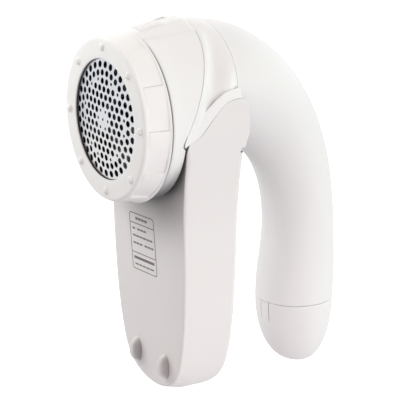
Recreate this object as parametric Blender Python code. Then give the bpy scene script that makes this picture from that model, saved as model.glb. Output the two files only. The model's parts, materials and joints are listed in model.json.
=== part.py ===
"""Battery fabric shaver: a round cutting head, an arched handle and a tongue-shaped lint box.

Work frame, millimetres: the cutter turns about the Y axis through x = 0, z = 0; the guard
ring's front face lies at y = 0 and faces -Y; +Z is up and +X is the right-hand side.
Everything hangs on the empty "datum", which carries this frame to the row frame (bottom
centre of the whole object). Angles about Y are in degrees, 0 = +X and 90 = top.
"""
import bpy
import bmesh
from itertools import count
from math import sin, cos, pi, radians, degrees, sqrt, asin
from mathutils import Vector, Matrix

for old in list(bpy.data.objects):
    bpy.data.objects.remove(old, do_unlink=True)

MM = 0.001
MERGE = 1e-4              # vertices closer than this become one, mm
# ---- driving dimensions, mm ------------------------------------------------------------
DATUM_Y = -58.30          # work frame origin in the row frame
DATUM_Z = 126.30
GAP = 0.3                 # clearance between neighbouring pieces
WALL = 2.0                # barrel, neck and lint box
FOIL_R = 25.8
FOIL_SAG = 2.2
FOIL_Y = -0.2             # the foil's foremost point
FOIL_T = 0.3
BARREL_R = 35.5
BARREL_Y = 12.3
FLARE_Y = 17.0            # from here the barrel widens towards the neck
FLARE_SLOPE = 0.165
NECK_START_Y = 20.3       # seam between barrel and neck: y = NECK_START_Y + NECK_LEAN * z
NECK_LEAN = 0.45
BARREL_LOW_Y = 18.3       # least y of the barrel's rear edge
BARREL_FOOT = 0.9         # how much further back the barrel reaches below the box's rim
NECK_END_Y = 46.6
HANDLE_START_Y = NECK_END_Y + GAP
CAP_Z = -94.5             # seam between handle and battery cap
CELL_X = 7.45
CELL_Y = 99.6

# handle sections: outer y, z; inner y, z; half width; superellipse exponent outer, inner
HANDLE_KEYS = [
    (46.5, 38.6, 46.5, -10.5, 30.3, .50, .50), (56.5, 37.0, 53.0, -12.5, 28.6, .50, .56),
    (67.0, 33.0, 60.0, -15.5, 26.4, .50, .60), (77.0, 26.8, 67.0, -20.0, 24.2, .50, .61),
    (86.5, 18.8, 73.0, -25.5, 22.0, .50, .60), (95.0, 9.0, 77.6, -32.0, 20.0, .50, .58),
    (102.3, -2.5, 80.8, -39.5, 18.4, .50, .56), (108.3, -15.8, 82.9, -47.5, 17.4, .50, .54),
    (112.6, -30.5, 84.0, -56.0, 16.9, .50, .52), (115.4, -47.0, 84.2, -65.0, 16.7, .50, .50),
    (117.0, -65.0, 83.2, -74.0, 17.0, .50, .50), (117.6, -80.0, 82.0, -83.5, 17.5, .50, .50),
    (117.4, -94.5, 81.7, -94.5, 17.7, .50, .50)]
# lint box outline, right half, from the top down: half width, z
BOX_KEYS = [
    (35.6, 12.0), (35.65, -6.0), (32.9, -25.0), (31.4, -42.0), (31.1, -57.0), (30.3, -73.0),
    (29.3, -85.0), (27.7, -95.5), (25.6, -104.4), (22.9, -111.8), (18.7, -117.6),
    (12.8, -121.1), (6.4, -122.9), (0.0, -123.5)]
# top rim of the lint box seen from the side: y, z
RIM_KEYS = [
    (18.6, -6.3), (22.4, -4.2), (26.2, -2.2), (31.4, 3.6), (37.2, 9.6), (40.5, 11.3),
    (44.0, 11.8), (47.2, 11.3), (49.2, 9.3), (49.8, 6.0)]
# the same rim as far as the neck's rear end: y, z
NECK_RIM_KEYS = RIM_KEYS[:7] + [(NECK_END_Y, 11.9)]
# upper edge of the neck's side band: y, z
BAND_KEYS = [
    (18.6, -4.6), (20.6, -1.6), (23.2, 1.0), (26.4, 5.3), (31.1, 9.9), (36.8, 13.9),
    (41.0, 15.2), (46.6, 15.6)]


# ---- curves ----------------------------------------------------------------------------
def spline(keys, t):
    """Catmull-Rom through the keys, t from 0 to 1."""
    last = len(keys) - 1
    place = min(max(t, 0.0), 1.0) * last
    j = min(int(place), last - 1)
    u = place - j
    start, end = keys[j], keys[j + 1]
    before = keys[j - 1] if j else [2 * a - b for a, b in zip(start, end)]
    after = keys[j + 2] if j < last - 1 else [2 * b - a for a, b in zip(start, end)]
    return [0.5 * (2 * b + (c - a) * u + (2 * a - 5 * b + 4 * c - d) * u * u
                   + (3 * b - a - 3 * c + d) * u ** 3)
            for a, b, c, d in zip(before, start, end, after)]


def smooth(x):
    x = min(max(x, 0.0), 1.0)
    return x * x * (3 - 2 * x)


def look_up(pairs, x):
    """Piecewise linear look-up, pairs sorted by their first value."""
    if x <= pairs[0][0]:
        return pairs[0][1]
    for (x1, value1), (x2, value2) in zip(pairs, pairs[1:]):
        if x <= x2:
            return value1 + (value2 - value1) * (x - x1) / (x2 - x1)
    return pairs[-1][1]


def spline_pairs(keys, samples):
    return [tuple(spline(keys, k / (samples - 1))) for k in range(samples)]


RIM_Z_BY_Y = sorted(spline_pairs(RIM_KEYS, 60))
BOX_X_BY_Z = sorted((z, x) for x, z in spline_pairs(BOX_KEYS, 240))

# ---- materials: base colour, roughness, metallic -----------------------------------------
FINISHES = {
    "white_shell": ((0.86, 0.86, 0.85), 0.32, 0.0),
    "white_box": ((0.80, 0.78, 0.78), 0.38, 0.0),
    "white_ring": ((0.84, 0.84, 0.83), 0.36, 0.0),
    "inner_plastic": ((0.62, 0.63, 0.65), 0.5, 0.0),
    "steel": ((0.74, 0.75, 0.77), 0.22, 1.0),
    "blade_steel": ((0.66, 0.67, 0.69), 0.28, 1.0),
    "black_plastic": ((0.05, 0.05, 0.055), 0.5, 0.0),
    "spring_steel": ((0.6, 0.6, 0.6), 0.3, 1.0),
    "brass": ((0.72, 0.58, 0.28), 0.3, 1.0),
    "cell_wrap": ((0.18, 0.26, 0.42), 0.4, 0.0),
    "red_wire": ((0.6, 0.05, 0.04), 0.5, 0.0),
    "black_wire": ((0.03, 0.03, 0.03), 0.5, 0.0)}


def make_material(name, finish):
    colour, roughness, metallic = FINISHES[finish]
    material = bpy.data.materials.new(name)
    material.use_nodes = True
    inputs = material.node_tree.nodes["Principled BSDF"].inputs
    inputs["Base Color"].default_value = (*colour, 1.0)
    inputs["Roughness"].default_value = roughness
    inputs["Metallic"].default_value = metallic
    material.diffuse_color = (*colour, 1.0)
    return material


# ---- objects ---------------------------------------------------------------------------
datum = bpy.data.objects.new("datum", None)
bpy.context.scene.collection.objects.link(datum)
datum.location = (0.0, DATUM_Y * MM, DATUM_Z * MM)


def to_object(name, body):
    """Turn a bmesh in millimetres into an object on the datum."""
    for v in body.verts:
        v.co *= MM
    data = bpy.data.meshes.new(name)
    body.to_mesh(data)
    body.free()
    obj = bpy.data.objects.new(name, data)
    bpy.context.scene.collection.objects.link(obj)
    obj.parent = datum
    return obj


def add_piece(name, body, finish, angle=30.0):
    """Clean the bmesh and make it a piece; edges sharper than angle are shaded sharp."""
    bmesh.ops.remove_doubles(body, verts=body.verts, dist=MERGE)
    bmesh.ops.dissolve_degenerate(body, edges=body.edges, dist=MERGE)
    bmesh.ops.recalc_face_normals(body, faces=body.faces)
    obj = to_object(name, body)
    obj.data.shade_smooth()
    obj.data.set_sharp_from_angle(angle=radians(angle))
    obj.data.materials.append(make_material(name + "_mat", finish))
    return obj


cutter_numbers = count(1)


def combine(obj, body, operation):
    """EXACT Boolean with a hidden cutter."""
    number = next(cutter_numbers)
    bmesh.ops.recalc_face_normals(body, faces=body.faces)
    cutter = to_object("cutter_%02d" % number, body)
    cutter.hide_render = True
    cutter.display_type = 'WIRE'
    modifier = obj.modifiers.new("cut_%02d" % number, 'BOOLEAN')
    modifier.operation = operation
    modifier.solver = 'EXACT'
    modifier.object = cutter


def join(obj, body):
    combine(obj, body, 'UNION')


def cut(obj, body):
    combine(obj, body, 'DIFFERENCE')


# ---- bodies ----------------------------------------------------------------------------
def band(body, first, second):
    """Quads between two closed loops of vertices."""
    for k in range(len(first)):
        m = (k + 1) % len(first)
        body.faces.new((first[k], first[m], second[m], second[k]))


def prism(loops):
    """Closed body through loops of points, capped at both ends."""
    body = bmesh.new()
    rings = [[body.verts.new(p) for p in loop] for loop in loops]
    for first, second in zip(rings, rings[1:]):
        band(body, first, second)
    body.faces.new(rings[0][::-1])
    body.faces.new(rings[-1])
    return body


def shell(outer, inner, wrap=False, mask=None, meets=False):
    """Closed body between two grids [row][column]; mask(i, j) False leaves a cell out.
    meets: the first and last columns meet their own mirror images, so they get no rim."""
    body = bmesh.new()
    rows, columns = len(outer) - 1, len(outer[0])
    near = [[body.verts.new(p) for p in row] for row in outer]
    far = [[body.verts.new(p) for p in row] for row in inner]
    cells = columns if wrap else columns - 1

    def filled(i, j):
        if wrap:
            j %= columns
        return 0 <= i < rows and 0 <= j < cells and (mask is None or mask(i, j))

    def wall(i1, j1, i2, j2):
        body.faces.new((near[i1][j1], near[i2][j2], far[i2][j2], far[i1][j1]))

    for i in range(rows):
        for j in range(cells):
            if not filled(i, j):
                continue
            k = (j + 1) % columns
            body.faces.new((near[i][j], near[i][k], near[i + 1][k], near[i + 1][j]))
            body.faces.new((far[i][j], far[i + 1][j], far[i + 1][k], far[i][k]))
            if not filled(i - 1, j):
                wall(i, k, i, j)
            if not filled(i + 1, j):
                wall(i + 1, j, i + 1, k)
            if not filled(i, j - 1) and not (meets and j == 0):
                wall(i, j, i + 1, j)
            if not filled(i, j + 1) and not (meets and j == cells - 1):
                wall(i + 1, k, i, k)
    loose = [v for v in body.verts if not v.link_faces]
    bmesh.ops.delete(body, geom=loose, context='VERTS')
    return body


def ring_body(angles, loop_at):
    """Closed ring about Y; loop_at(angle) gives the closed (y, r) loop of each column."""
    body = bmesh.new()
    columns = []
    for angle in angles:
        c, s = cos(radians(angle)), sin(radians(angle))
        columns.append([body.verts.new((r * c, y, r * s)) for y, r in loop_at(angle)])
    for k, column in enumerate(columns):
        band(body, column, columns[(k + 1) % len(columns)])
    return body


def turned(profile, sides, turn=0.0):
    """Solid of revolution about Y from an open (y, r) profile, turned by an angle.
    The profile starts and ends on the axis."""
    body = bmesh.new()
    verts = [body.verts.new((r, y, 0.0)) for y, r in profile]
    edges = [body.edges.new(pair) for pair in zip(verts, verts[1:])]
    bmesh.ops.spin(body, geom=verts + edges, cent=(0, 0, 0), axis=(0, 1, 0), angle=2 * pi,
                   steps=sides, use_duplicate=False)
    bmesh.ops.remove_doubles(body, verts=body.verts, dist=MERGE)
    if turn:
        bmesh.ops.rotate(body, cent=(0, 0, 0), matrix=Matrix.Rotation(radians(turn), 3, 'Y'),
                         verts=body.verts)
    return body


def rod(start, end, radius, sides, turn=0.0):
    """Plain cylinder along Y."""
    return turned([(start, 0.0), (start, radius), (end, radius), (end, 0.0)], sides, turn)


def aim(body, at, axis=(0, 1, 0)):
    """Turn a body made about +Y so that +Y points along axis, and move it."""
    turn = Vector((0, 1, 0)).rotation_difference(Vector(axis)).to_matrix().to_4x4()
    bmesh.ops.transform(body, matrix=Matrix.Translation(Vector(at)) @ turn, verts=body.verts)
    return body


def block(low, high, bevel=0.0):
    """Box between two opposite corners."""
    body = bmesh.new()
    bmesh.ops.create_cube(body, size=1.0)
    for v in body.verts:
        v.co = Vector([(a + b) / 2 + c * (b - a) for a, b, c in zip(low, high, v.co)])
    if bevel:
        bmesh.ops.bevel(body, geom=list(body.edges), offset=bevel, segments=1,
                        affect='EDGES', profile=0.5)
    return body


def section(centre, radius, sides, across, up):
    """Round wire section in the plane of two unit vectors."""
    turns = [2 * pi * k / sides for k in range(sides)]
    return [centre + radius * (cos(a) * across + sin(a) * up) for a in turns]


def coil(radii, length, turns, wire, at, axis):
    """Coil spring from at along axis; radii are those of its start and its end."""
    steps = turns * 8
    loops = []
    for i in range(steps + 1):
        t = i / steps
        a = 2 * pi * turns * t
        r = radii[0] + (radii[1] - radii[0]) * t
        centre = Vector((r * cos(a), length * t, r * sin(a)))
        loops.append(section(centre, wire, 4, Vector((cos(a), 0, sin(a))), Vector((0, 1, 0))))
    return aim(prism(loops), at, axis)


def wire_body(keys):
    """Insulated wire: a round section swept through the points."""
    steps = 3 * (len(keys) - 1)
    points = [Vector(spline(keys, i / steps)) for i in range(steps + 1)]
    right = Vector((1, 0, 0))
    loops = []
    for i, p in enumerate(points):
        along = (points[min(i + 1, steps)] - points[max(i - 1, 0)]).normalized()
        across = (right - along * right.dot(along)).normalized()
        loops.append(section(p, 0.7, 6, across, along.cross(across)))
    return prism(loops)


def angle_between(first, second):
    return abs((first - second + 180) % 360 - 180)


# ---- guard ring ------------------------------------------------------------------------
RING_R = 35.0             # front outer radius
RING_REAR_R = 36.95
RING_DEPTH = 11.9
RING_OPEN_R = 26.07
RING_INNER_R = 33.4
GROOVE_DEPTH = 0.35       # twelve narrow grooves along the outside
BUMP_CIRCLE_R = 30.7
BUMP_R = 1.5
BUMP_COUNT = 8
BUMP_PHASE = 3.7          # angle of the first bump and the first groove


def guard_loop(angle):
    groove = GROOVE_DEPTH if (angle - BUMP_PHASE) % 30.0 < 1.5 else 0.0
    return [(0.0, RING_OPEN_R), (0.0, 33.2), (0.5, 34.4), (1.5, RING_R - groove * 0.8),
            (RING_DEPTH - 2.1, 36.55 - groove), (RING_DEPTH - 1.9, 36.6),
            (RING_DEPTH - 0.5, RING_REAR_R), (RING_DEPTH, 36.7),
            (RING_DEPTH, RING_INNER_R + 0.8), (1.7, RING_INNER_R), (1.7, RING_OPEN_R + 0.25)]


guard_angles = sorted(BUMP_PHASE + 30.0 * k + offset for k in range(12)
                      for offset in (-0.1, 0.1, 1.4, 1.7, 15.5))
guard_ring = add_piece("guard_ring", ring_body(guard_angles, guard_loop), "white_ring")
for k in range(BUMP_COUNT):
    a = radians(BUMP_PHASE + 360.0 / BUMP_COUNT * k)
    bump = turned([(-1.0, 0.0), (-0.75, 0.75), (-0.05, BUMP_R), (0.9, BUMP_R), (0.9, 0.0)], 8)
    join(guard_ring, aim(bump, (BUMP_CIRCLE_R * cos(a), 0, BUMP_CIRCLE_R * sin(a))))

# ---- foil frame: carrier of the foil with a bayonet skirt --------------------------------
SKIRT_R = 32.5
LUG_R = 33.25             # three bayonet lugs stand out from the skirt's rear


def frame_loop(angle):
    lug = LUG_R if angle % 120.0 < 22.6 else SKIRT_R
    return [(2.0, 29.0), (2.0, SKIRT_R), (2.4, 32.9), (5.0, 32.9), (5.0, SKIRT_R),
            (14.95, SKIRT_R), (15.1, lug), (16.9, lug), (17.1, SKIRT_R), (17.1, 30.4),
            (6.2, 30.4), (5.2, 26.6), (2.65, 26.6), (2.65, 29.0)]


frame_angles = [15.0 * k for k in range(24)]
frame_angles += [120.0 * k + offset for k in range(3) for offset in (-0.5, 22.5, 23.2)]
frame_angles.sort(key=lambda angle: angle % 360.0)
add_piece("foil_frame", ring_body(frame_angles, frame_loop), "black_plastic")

# ---- foil: perforated dome ----------------------------------------------------------------
FOIL_RIM_R = 28.4
HOLE_PITCH = 3.75         # triangular field of holes
# outer rings of 32 holes: ring radius, hole radius, first angle
HOLE_RINGS = ((19.87, 1.36, 7.3), (23.3, 1.48, 1.7))


def foil_holes():
    """x, z and radius of every hole."""
    holes = [(0.0, 0.0, 0.62)]
    holes += [(4.17 * cos(radians(60 * k)), 4.17 * sin(radians(60 * k)), 0.66)
              for k in range(6)]
    for column in range(-9, 10):
        for row in range(-6, 7):
            x, z = HOLE_PITCH * (column + row / 2), HOLE_PITCH * row * sqrt(3) / 2
            distance = sqrt(x * x + z * z)
            if 5.0 < distance < 16.7:
                holes.append((x, z, 1.34))
            elif 16.7 < distance < 17.4:
                holes.append((x, z, 0.72))
    for ring_r, hole_r, first in HOLE_RINGS:
        for k in range(32):
            a = radians(first + 11.25 * k)
            holes.append((ring_r * cos(a), ring_r * sin(a), hole_r))
    return holes


def foil_y(x, z):
    """Front face of the dome; beyond FOIL_R it stays level."""
    distance = min(sqrt(x * x + z * z), FOIL_R)
    return FOIL_Y + FOIL_SAG * (distance / FOIL_R) ** 2


def foil_body():
    body = bmesh.new()
    edges = []

    def polygon(x, z, radius, sides, phase):
        turns = [2 * pi * (k + phase) / sides for k in range(sides)]
        verts = [body.verts.new((x + radius * cos(a), 0.0, z + radius * sin(a)))
                 for a in turns]
        edges.extend(body.edges.new(pair) for pair in zip(verts, verts[1:] + verts[:1]))

    polygon(0.0, 0.0, FOIL_R, 48, 0.0)
    for x, z, radius in foil_holes():
        polygon(x, z, radius, 6, 0.5)
    bmesh.ops.triangle_fill(body, use_beauty=True, use_dissolve=False, edges=edges)
    # the flat rim round the dome
    rim = [e for e in body.edges
           if e.is_boundary and all(v.co.length > FOIL_R - 0.01 for v in e.verts)]
    for item in bmesh.ops.extrude_edge_only(body, edges=rim)["geom"]:
        if isinstance(item, bmesh.types.BMVert):
            item.co *= FOIL_RIM_R / FOIL_R
    for v in body.verts:
        v.co.y = foil_y(v.co.x, v.co.z)
    bmesh.ops.recalc_face_normals(body, faces=list(body.faces))
    sheet = list(body.faces) + list(body.edges) + list(body.verts)
    for item in bmesh.ops.extrude_face_region(body, geom=sheet)["geom"]:
        if isinstance(item, bmesh.types.BMVert):
            item.co.y += FOIL_T
    return body


add_piece("foil_screen", foil_body(), "steel", angle=25)

# ---- cutter hub, blades, spring and spindle ------------------------------------------------
ARM_ANGLES = (90.0, 210.0, 330.0)
BLADE_RADII = (6.3, 11.0, 16.0, 21.0, 25.0)
BLADE_HALF_T = 0.3
BLADE_CLEARANCE = 0.35    # from the foil to the blade's near edge
BLADE_BEVEL = 0.25        # the blade's other side lies this much further back
BLADE_REAR_Y = 4.9


def hub_loop(angle):
    on_arm = min(angle_between(angle, arm) for arm in ARM_ANGLES) < 12.1
    reach = 24.3 if on_arm else 7.6
    return [(3.0, 2.3), (3.0, 5.0), (3.3, 5.4), (5.2, 5.6), (5.3, reach), (7.0, reach),
            (7.2, 5.6), (10.0, 5.6), (10.0, 4.3), (7.0, 4.3), (7.0, 2.3)]


def blade_body(angle):
    """Thin plate on one arm; its front edge follows the foil."""
    body = bmesh.new()
    c, s = cos(radians(angle)), sin(radians(angle))
    loops = []
    for side, setback in ((-BLADE_HALF_T, 0.0), (BLADE_HALF_T, BLADE_BEVEL)):
        front = FOIL_T + BLADE_CLEARANCE + setback
        points = [(r, foil_y(r, 0) + front) for r in BLADE_RADII]
        points += [(r, BLADE_REAR_Y) for r in reversed(BLADE_RADII)]
        loops.append([body.verts.new((r * c - side * s, y, r * s + side * c))
                      for r, y in points])
    near, far = loops
    band(body, near, far)
    for k in range(len(BLADE_RADII) - 1):
        q = len(near) - 1 - k
        body.faces.new((near[k], near[q], near[q - 1], near[k + 1]))
        body.faces.new((far[k], far[k + 1], far[q - 1], far[q]))
    return body


hub_angles = sorted((arm + offset) % 360 for arm in ARM_ANGLES
                    for offset in (-60, -42, -26, -13, -12, 0, 12, 13, 26, 42))
add_piece("cutter_hub", ring_body(hub_angles, hub_loop), "black_plastic")
for i, arm in enumerate(ARM_ANGLES):
    add_piece("cutter_blade_%d" % (i + 1), blade_body(arm), "blade_steel", angle=20)
add_piece("cutter_spring", coil((3.2, 3.2), 3.3, 3, 0.3, (0, 8.6, 0), (0, 1, 0)),
          "spring_steel", angle=60)

# closed y, r loop
SPINDLE_LOOP = [
    (3.6, 0.4), (3.6, 1.6), (4.0, 1.95), (12.4, 1.95), (12.4, 5.2), (13.6, 5.2),
    (13.6, 4.0), (29.3, 4.0), (29.3, 1.05), (14.0, 1.05), (13.0, 0.4)]
add_piece("drive_spindle", ring_body([22.5 * k for k in range(16)], lambda angle: SPINDLE_LOOP),
          "black_plastic")

# ---- suction fan: disc with six vanes --------------------------------------------------------
VANE_ANGLES = [60.0 * k for k in range(6)]


def fan_loop(angle):
    if min(angle_between(angle, vane) for vane in VANE_ANGLES) < 1.6:
        return [(18.0, 4.3), (18.0, 6.6), (19.6, 6.8), (19.6, 23.6), (27.4, 24.0),
                (29.0, 24.0), (29.0, 4.3)]
    return [(18.0, 4.3), (18.0, 6.6), (26.9, 6.8), (27.4, 23.6), (27.4, 24.0),
            (29.0, 24.0), (29.0, 4.3)]


fan_angles = sorted((vane + offset) % 360 for vane in VANE_ANGLES
                    for offset in (-2.2, -1.5, 1.5, 2.2, 20.0, 40.0))
add_piece("suction_fan", ring_body(fan_angles, fan_loop), "inner_plastic")

# ---- barrel: front housing -------------------------------------------------------------------
BORE_R = 33.6
LIP_R = 32.9              # inner lip at the front, with three notches for the bayonet lugs


def barrel_r(y):
    return BARREL_R + FLARE_SLOPE * max(y - FLARE_Y, 0.0)


def neck_seam_y(angle):
    """y of the seam between barrel and neck."""
    s = sin(radians(angle))
    y = ((NECK_START_Y + NECK_LEAN * s * (BARREL_R - FLARE_SLOPE * FLARE_Y))
         / (1 - NECK_LEAN * FLARE_SLOPE * s))
    return max(y, BARREL_LOW_Y + BARREL_FOOT * smooth((-s - 0.36) / 0.2))


def barrel_loop(angle):
    """Outer side, rear edge at the seam, inner side, bayonet lip."""
    rear = neck_seam_y(angle) - GAP / 2
    middle = (FLARE_Y + rear) / 2
    lip = BORE_R if 24.0 < angle % 120.0 < 53.0 else LIP_R
    return [(BARREL_Y + 0.6, 35.1), (BARREL_Y + 1.4, BARREL_R), (FLARE_Y, BARREL_R),
            (middle, barrel_r(middle)), (rear, barrel_r(rear)),
            (rear, barrel_r(rear) - WALL), (middle, barrel_r(middle) - WALL),
            (FLARE_Y, BORE_R), (14.7, BORE_R), (14.6, lip), (BARREL_Y + 0.6, lip)]


barrel_angles = [7.5 * k for k in range(48)]
barrel_angles += [120.0 * k + offset for k in range(3) for offset in (24.2, 52.8)]
barrel = add_piece("head_barrel", ring_body(sorted(barrel_angles), barrel_loop), "white_shell")

# ---- switch rail: a ridge along the barrel's top that rises to the rear, with a bed for the knob
# y, z of the rail's top
RAIL_KEYS = [(13.0, 36.4), (14.0, 37.1), (24.0, 39.15), (33.0, 41.0), (35.2, 40.9), (36.9, 39.9)]
BED_RISE = 0.25           # height of the bed's floor above the barrel


def bed_z(y):
    """Floor of the knob's bed, parallel to the knob's travel."""
    return BARREL_R + BED_RISE + FLARE_SLOPE * (y - FLARE_Y)


def ridge(stations, half, chamfer):
    """Prism through (y, bottom, top) stations with its two upper edges chamfered."""
    return prism([[(-half, y, bottom), (-half, y, top - chamfer), (chamfer - half, y, top),
                   (half - chamfer, y, top), (half, y, top - chamfer), (half, y, bottom)]
                  for y, bottom, top in stations])


join(barrel, ridge([(y, barrel_r(y) - 1.2, z) for y, z in RAIL_KEYS], half=5.8, chamfer=0.7))
cut(barrel, ridge([(y, bed_z(y), 46.0) for y in (14.6, 30.8)], half=4.9, chamfer=0.5))
cut(barrel, block((-3.2, 17.6, 30.0), (3.2, 28.2, 42.0)))

# ---- switch: ribbed pad in the rail's bed with a stem through the slot, and its body -------------
KNOB_START_Y = 15.1
KNOB_LENGTH = 11.1
KNOB_X = (-4.4, -3.9, 0.0, 3.9, 4.4)
KNOB_EDGE_DROP = 0.5
KNOB_RIB = 0.3


def knob_body():
    top_grid, floor_grid = [], []
    for i in range(13):
        y = KNOB_START_Y + KNOB_LENGTH * i / 12
        rib = KNOB_RIB if 2 <= i <= 10 and i % 2 == 0 else 0.0
        top_row = []
        for j, x in enumerate(KNOB_X):
            drop = KNOB_EDGE_DROP if i in (0, 12) or j in (0, 4) else 0.0
            top_row.append((x, y, look_up(RAIL_KEYS, y) + 0.1 + rib - drop))
        top_grid.append(top_row)
        floor_grid.append([(x, y, bed_z(y) + GAP) for x in KNOB_X])
    return shell(top_grid, floor_grid)


knob = add_piece("power_switch_knob", knob_body(), "white_ring")
join(knob, block((-2.4, 18.4, 32.4), (2.4, 22.4, 37.4)))
add_piece("switch_body", block((-5.0, 19.4, 27.0), (5.0, 30.6, 31.9), bevel=0.4), "black_plastic")

# ---- neck shell --------------------------------------------------------------------------------
NECK_DIP = 3.4            # hollow of the neck's flanks
NECK_BULGE = 1.0          # rise along its top
NECK_REAR_HALF_X = HANDLE_KEYS[0][4]
NECK_REAR_Z = (HANDLE_KEYS[0][1] + HANDLE_KEYS[0][3]) / 2
NECK_REAR_HALF_Z = (HANDLE_KEYS[0][1] - HANDLE_KEYS[0][3]) / 2
# stations round the section: 0 top centre, 1 foot of the main surface, 1.5 band's lower edge
NECK_ROUND = [0.0, 0.14, 0.28, 0.42, 0.56, 0.70, 0.83, 0.93, 1.0, 1.2, 1.36, 1.5]
# stations along the neck: 0 at the barrel, 1 at the handle
NECK_ALONG = [0.0, 0.10, 0.24, 0.36, 0.48, 0.62, 0.80, 1.0]


def neck_point(u, t, inset):
    """Right-hand point at u round the section and t along the neck."""
    main = min(u, 1.0)
    front_angle = radians(90.0 - main * 92.0)
    front_y = neck_seam_y(degrees(front_angle)) + GAP / 2
    front_r = barrel_r(front_y)
    front = Vector((front_r * cos(front_angle), front_y, front_r * sin(front_angle)))
    rear_angle = radians(90.0 - main * 85.0)
    rear = Vector((NECK_REAR_HALF_X * cos(rear_angle), NECK_END_Y,
                   NECK_REAR_Z + NECK_REAR_HALF_Z * sin(rear_angle)))
    point = front.lerp(rear, t)
    side = smooth((main - 0.08) / 0.6)
    dip = NECK_DIP * side * (smooth((t - 0.10) / 0.32) * (1 - smooth((t - 0.45) / 0.55)))
    bulge = NECK_BULGE * (1 - side) * sin(pi * t)
    normal = Vector((point.x, 0.0, point.z - 8.0 * t)).normalized()
    point = point + normal * (bulge - dip)
    if u > 1.0:
        # the side band between the main surface and the lint box's rim
        band_y, band_z = spline(BAND_KEYS, t)
        rim_y = spline(NECK_RIM_KEYS, t)[0]
        rim_z = look_up(RIM_Z_BY_Y, rim_y)
        upper = Vector((35.6 - 1.3 * smooth(t / 0.5), band_y, band_z))
        lower = Vector((35.9 - 1.2 * smooth(t / 0.5), rim_y, rim_z + 0.6))
        v = (u - 1.0) / 0.5
        if v < 0.4:
            point = point.lerp(upper, v / 0.4)
        else:
            point = upper.lerp(lower, (v - 0.4) / 0.6)
        normal = Vector((1.0, 0.0, 0.35 * (1 - v))).normalized()
    return point - normal * inset


def neck_grid(inset):
    grid = []
    for t in NECK_ALONG:
        half = [neck_point(u, t, inset) for u in NECK_ROUND]
        grid.append([Vector((-p.x, p.y, p.z)) for p in reversed(half[1:])] + half)
    return grid


add_piece("neck_shell", shell(neck_grid(0.0), neck_grid(WALL)), "white_shell")

# ---- chamber shell: lower housing of the head, inside the top of the lint box ---------------------
CHAMBER_R = 33.0          # round section at the front
CHAMBER_WALL = 1.6
CHAMBER_Y = [17.7, 20.5, 23.0, 26.5, 30.0, 34.0, 38.0, 42.0, 46.5]
# rear section by y: upper edge z, bottom z, half width
CHAMBER_TOP = [(18.0, -6.5), (22.4, -4.8), (26.2, -3.0), (31.4, 2.6), (37.2, 8.2),
               (44.0, 10.4), (46.6, 10.4)]
CHAMBER_BOTTOM = [(18.0, -33.0), (22.0, -32.0), (30.0, -25.5), (38.0, -15.5),
                  (43.5, -10.5), (46.6, -10.2)]
CHAMBER_HALF_X = [(18.0, 32.0), (30.0, 31.2), (46.6, 29.6)]


def chamber_point(v, y, inset):
    """v from -1 (right upper edge) to 1 (left upper edge); round in front, elliptic behind."""
    a = radians(-90.0 - 80.0 * v)
    r = CHAMBER_R - inset
    circle = Vector((r * cos(a), y, r * sin(a)))
    top = look_up(CHAMBER_TOP, y)
    bottom = look_up(CHAMBER_BOTTOM, y) + inset
    half = look_up(CHAMBER_HALF_X, y) - inset
    b = pi / 2 * (1 - abs(v))
    side = -1 if v > 0 else 1
    ellipse = Vector((half * cos(b) * side, y, top + (bottom - top) * sin(b)))
    return circle.lerp(ellipse, smooth((y - 20.0) / 10.0))


def chamber_grid(inset):
    return [[chamber_point(-1 + k / 7, y, inset) for k in range(15)] for y in CHAMBER_Y]


def chamber_mask(i, j):
    """Leaves an opening in the floor."""
    return not (2 <= i <= 3 and 5 <= j <= 8)


add_piece("chamber_shell", shell(chamber_grid(0.0), chamber_grid(CHAMBER_WALL),
                                 mask=chamber_mask), "inner_plastic")

# ---- neck cheeks: plates that close the neck's rear corners between the chamber and the box's lugs
cheek_outline = [(30.1 * cos(radians(a)), 10.4 - 21.65 * sin(radians(a)))
                 for a in (1, 12, 24, 36, 48, 58, 66)]
cheek_outline += [(cheek_outline[-1][0], -11.3), (32.4, -11.3), (33.2, -7.0), (33.3, 11.0),
                  (30.3, 11.0)]
for side_name, side in (("right", 1), ("left", -1)):
    cheek = prism([[(side * x, y, z) for x, z in cheek_outline] for y in (44.7, 46.2)])
    add_piece("neck_cheek_" + side_name, cheek, "white_shell")

# ---- motor and its bulkhead ---------------------------------------------------------------------
MOTOR_R = 10.05
MOTOR_FLAT = 7.55         # half height across the motor's two flats
MOTOR_SCREW_X = 5.6


def bulkhead_loop(angle):
    s = sin(radians(angle))
    r = 25.0 if s > 0 else min(24.0, 14.0 / max(-s, 1e-6))
    return [(31.4, 2.6), (31.4, r - 0.4), (31.8, r), (32.8, r), (33.2, r - 0.4), (33.2, 2.6)]


def motor_r(angle):
    return min(MOTOR_R, MOTOR_FLAT / max(abs(sin(radians(angle))), 1e-6))


def can_loop(angle):
    r = motor_r(angle)
    return [(33.6, 1.4), (33.6, 3.0), (35.0, 3.0), (35.0, r - 0.6), (35.6, r), (56.0, r),
            (56.0, 1.4)]


def bell_loop(angle):
    r = motor_r(angle)
    return [(56.3, 1.4), (56.3, r), (59.6, r), (60.2, r - 0.6), (60.2, 1.4)]


bulkhead = add_piece("motor_bulkhead", ring_body([15.0 * k for k in range(24)], bulkhead_loop),
                     "inner_plastic")
flat_angle = degrees(asin(MOTOR_FLAT / MOTOR_R))
motor_angles = sorted((base + offset) % 360 for base in (0, 180)
                      for offset in (-flat_angle, -24, 0, 24, flat_angle, 90))
motor_can = add_piece("motor_can", ring_body(motor_angles, can_loop), "steel")
add_piece("motor_end_bell", ring_body(motor_angles, bell_loop), "black_plastic")
add_piece("motor_shaft", turned([(14.8, 0.0), (14.8, 0.8), (15.0, 1.0), (58.0, 1.0),
                                 (58.0, 0.0)], 12), "steel")

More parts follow.
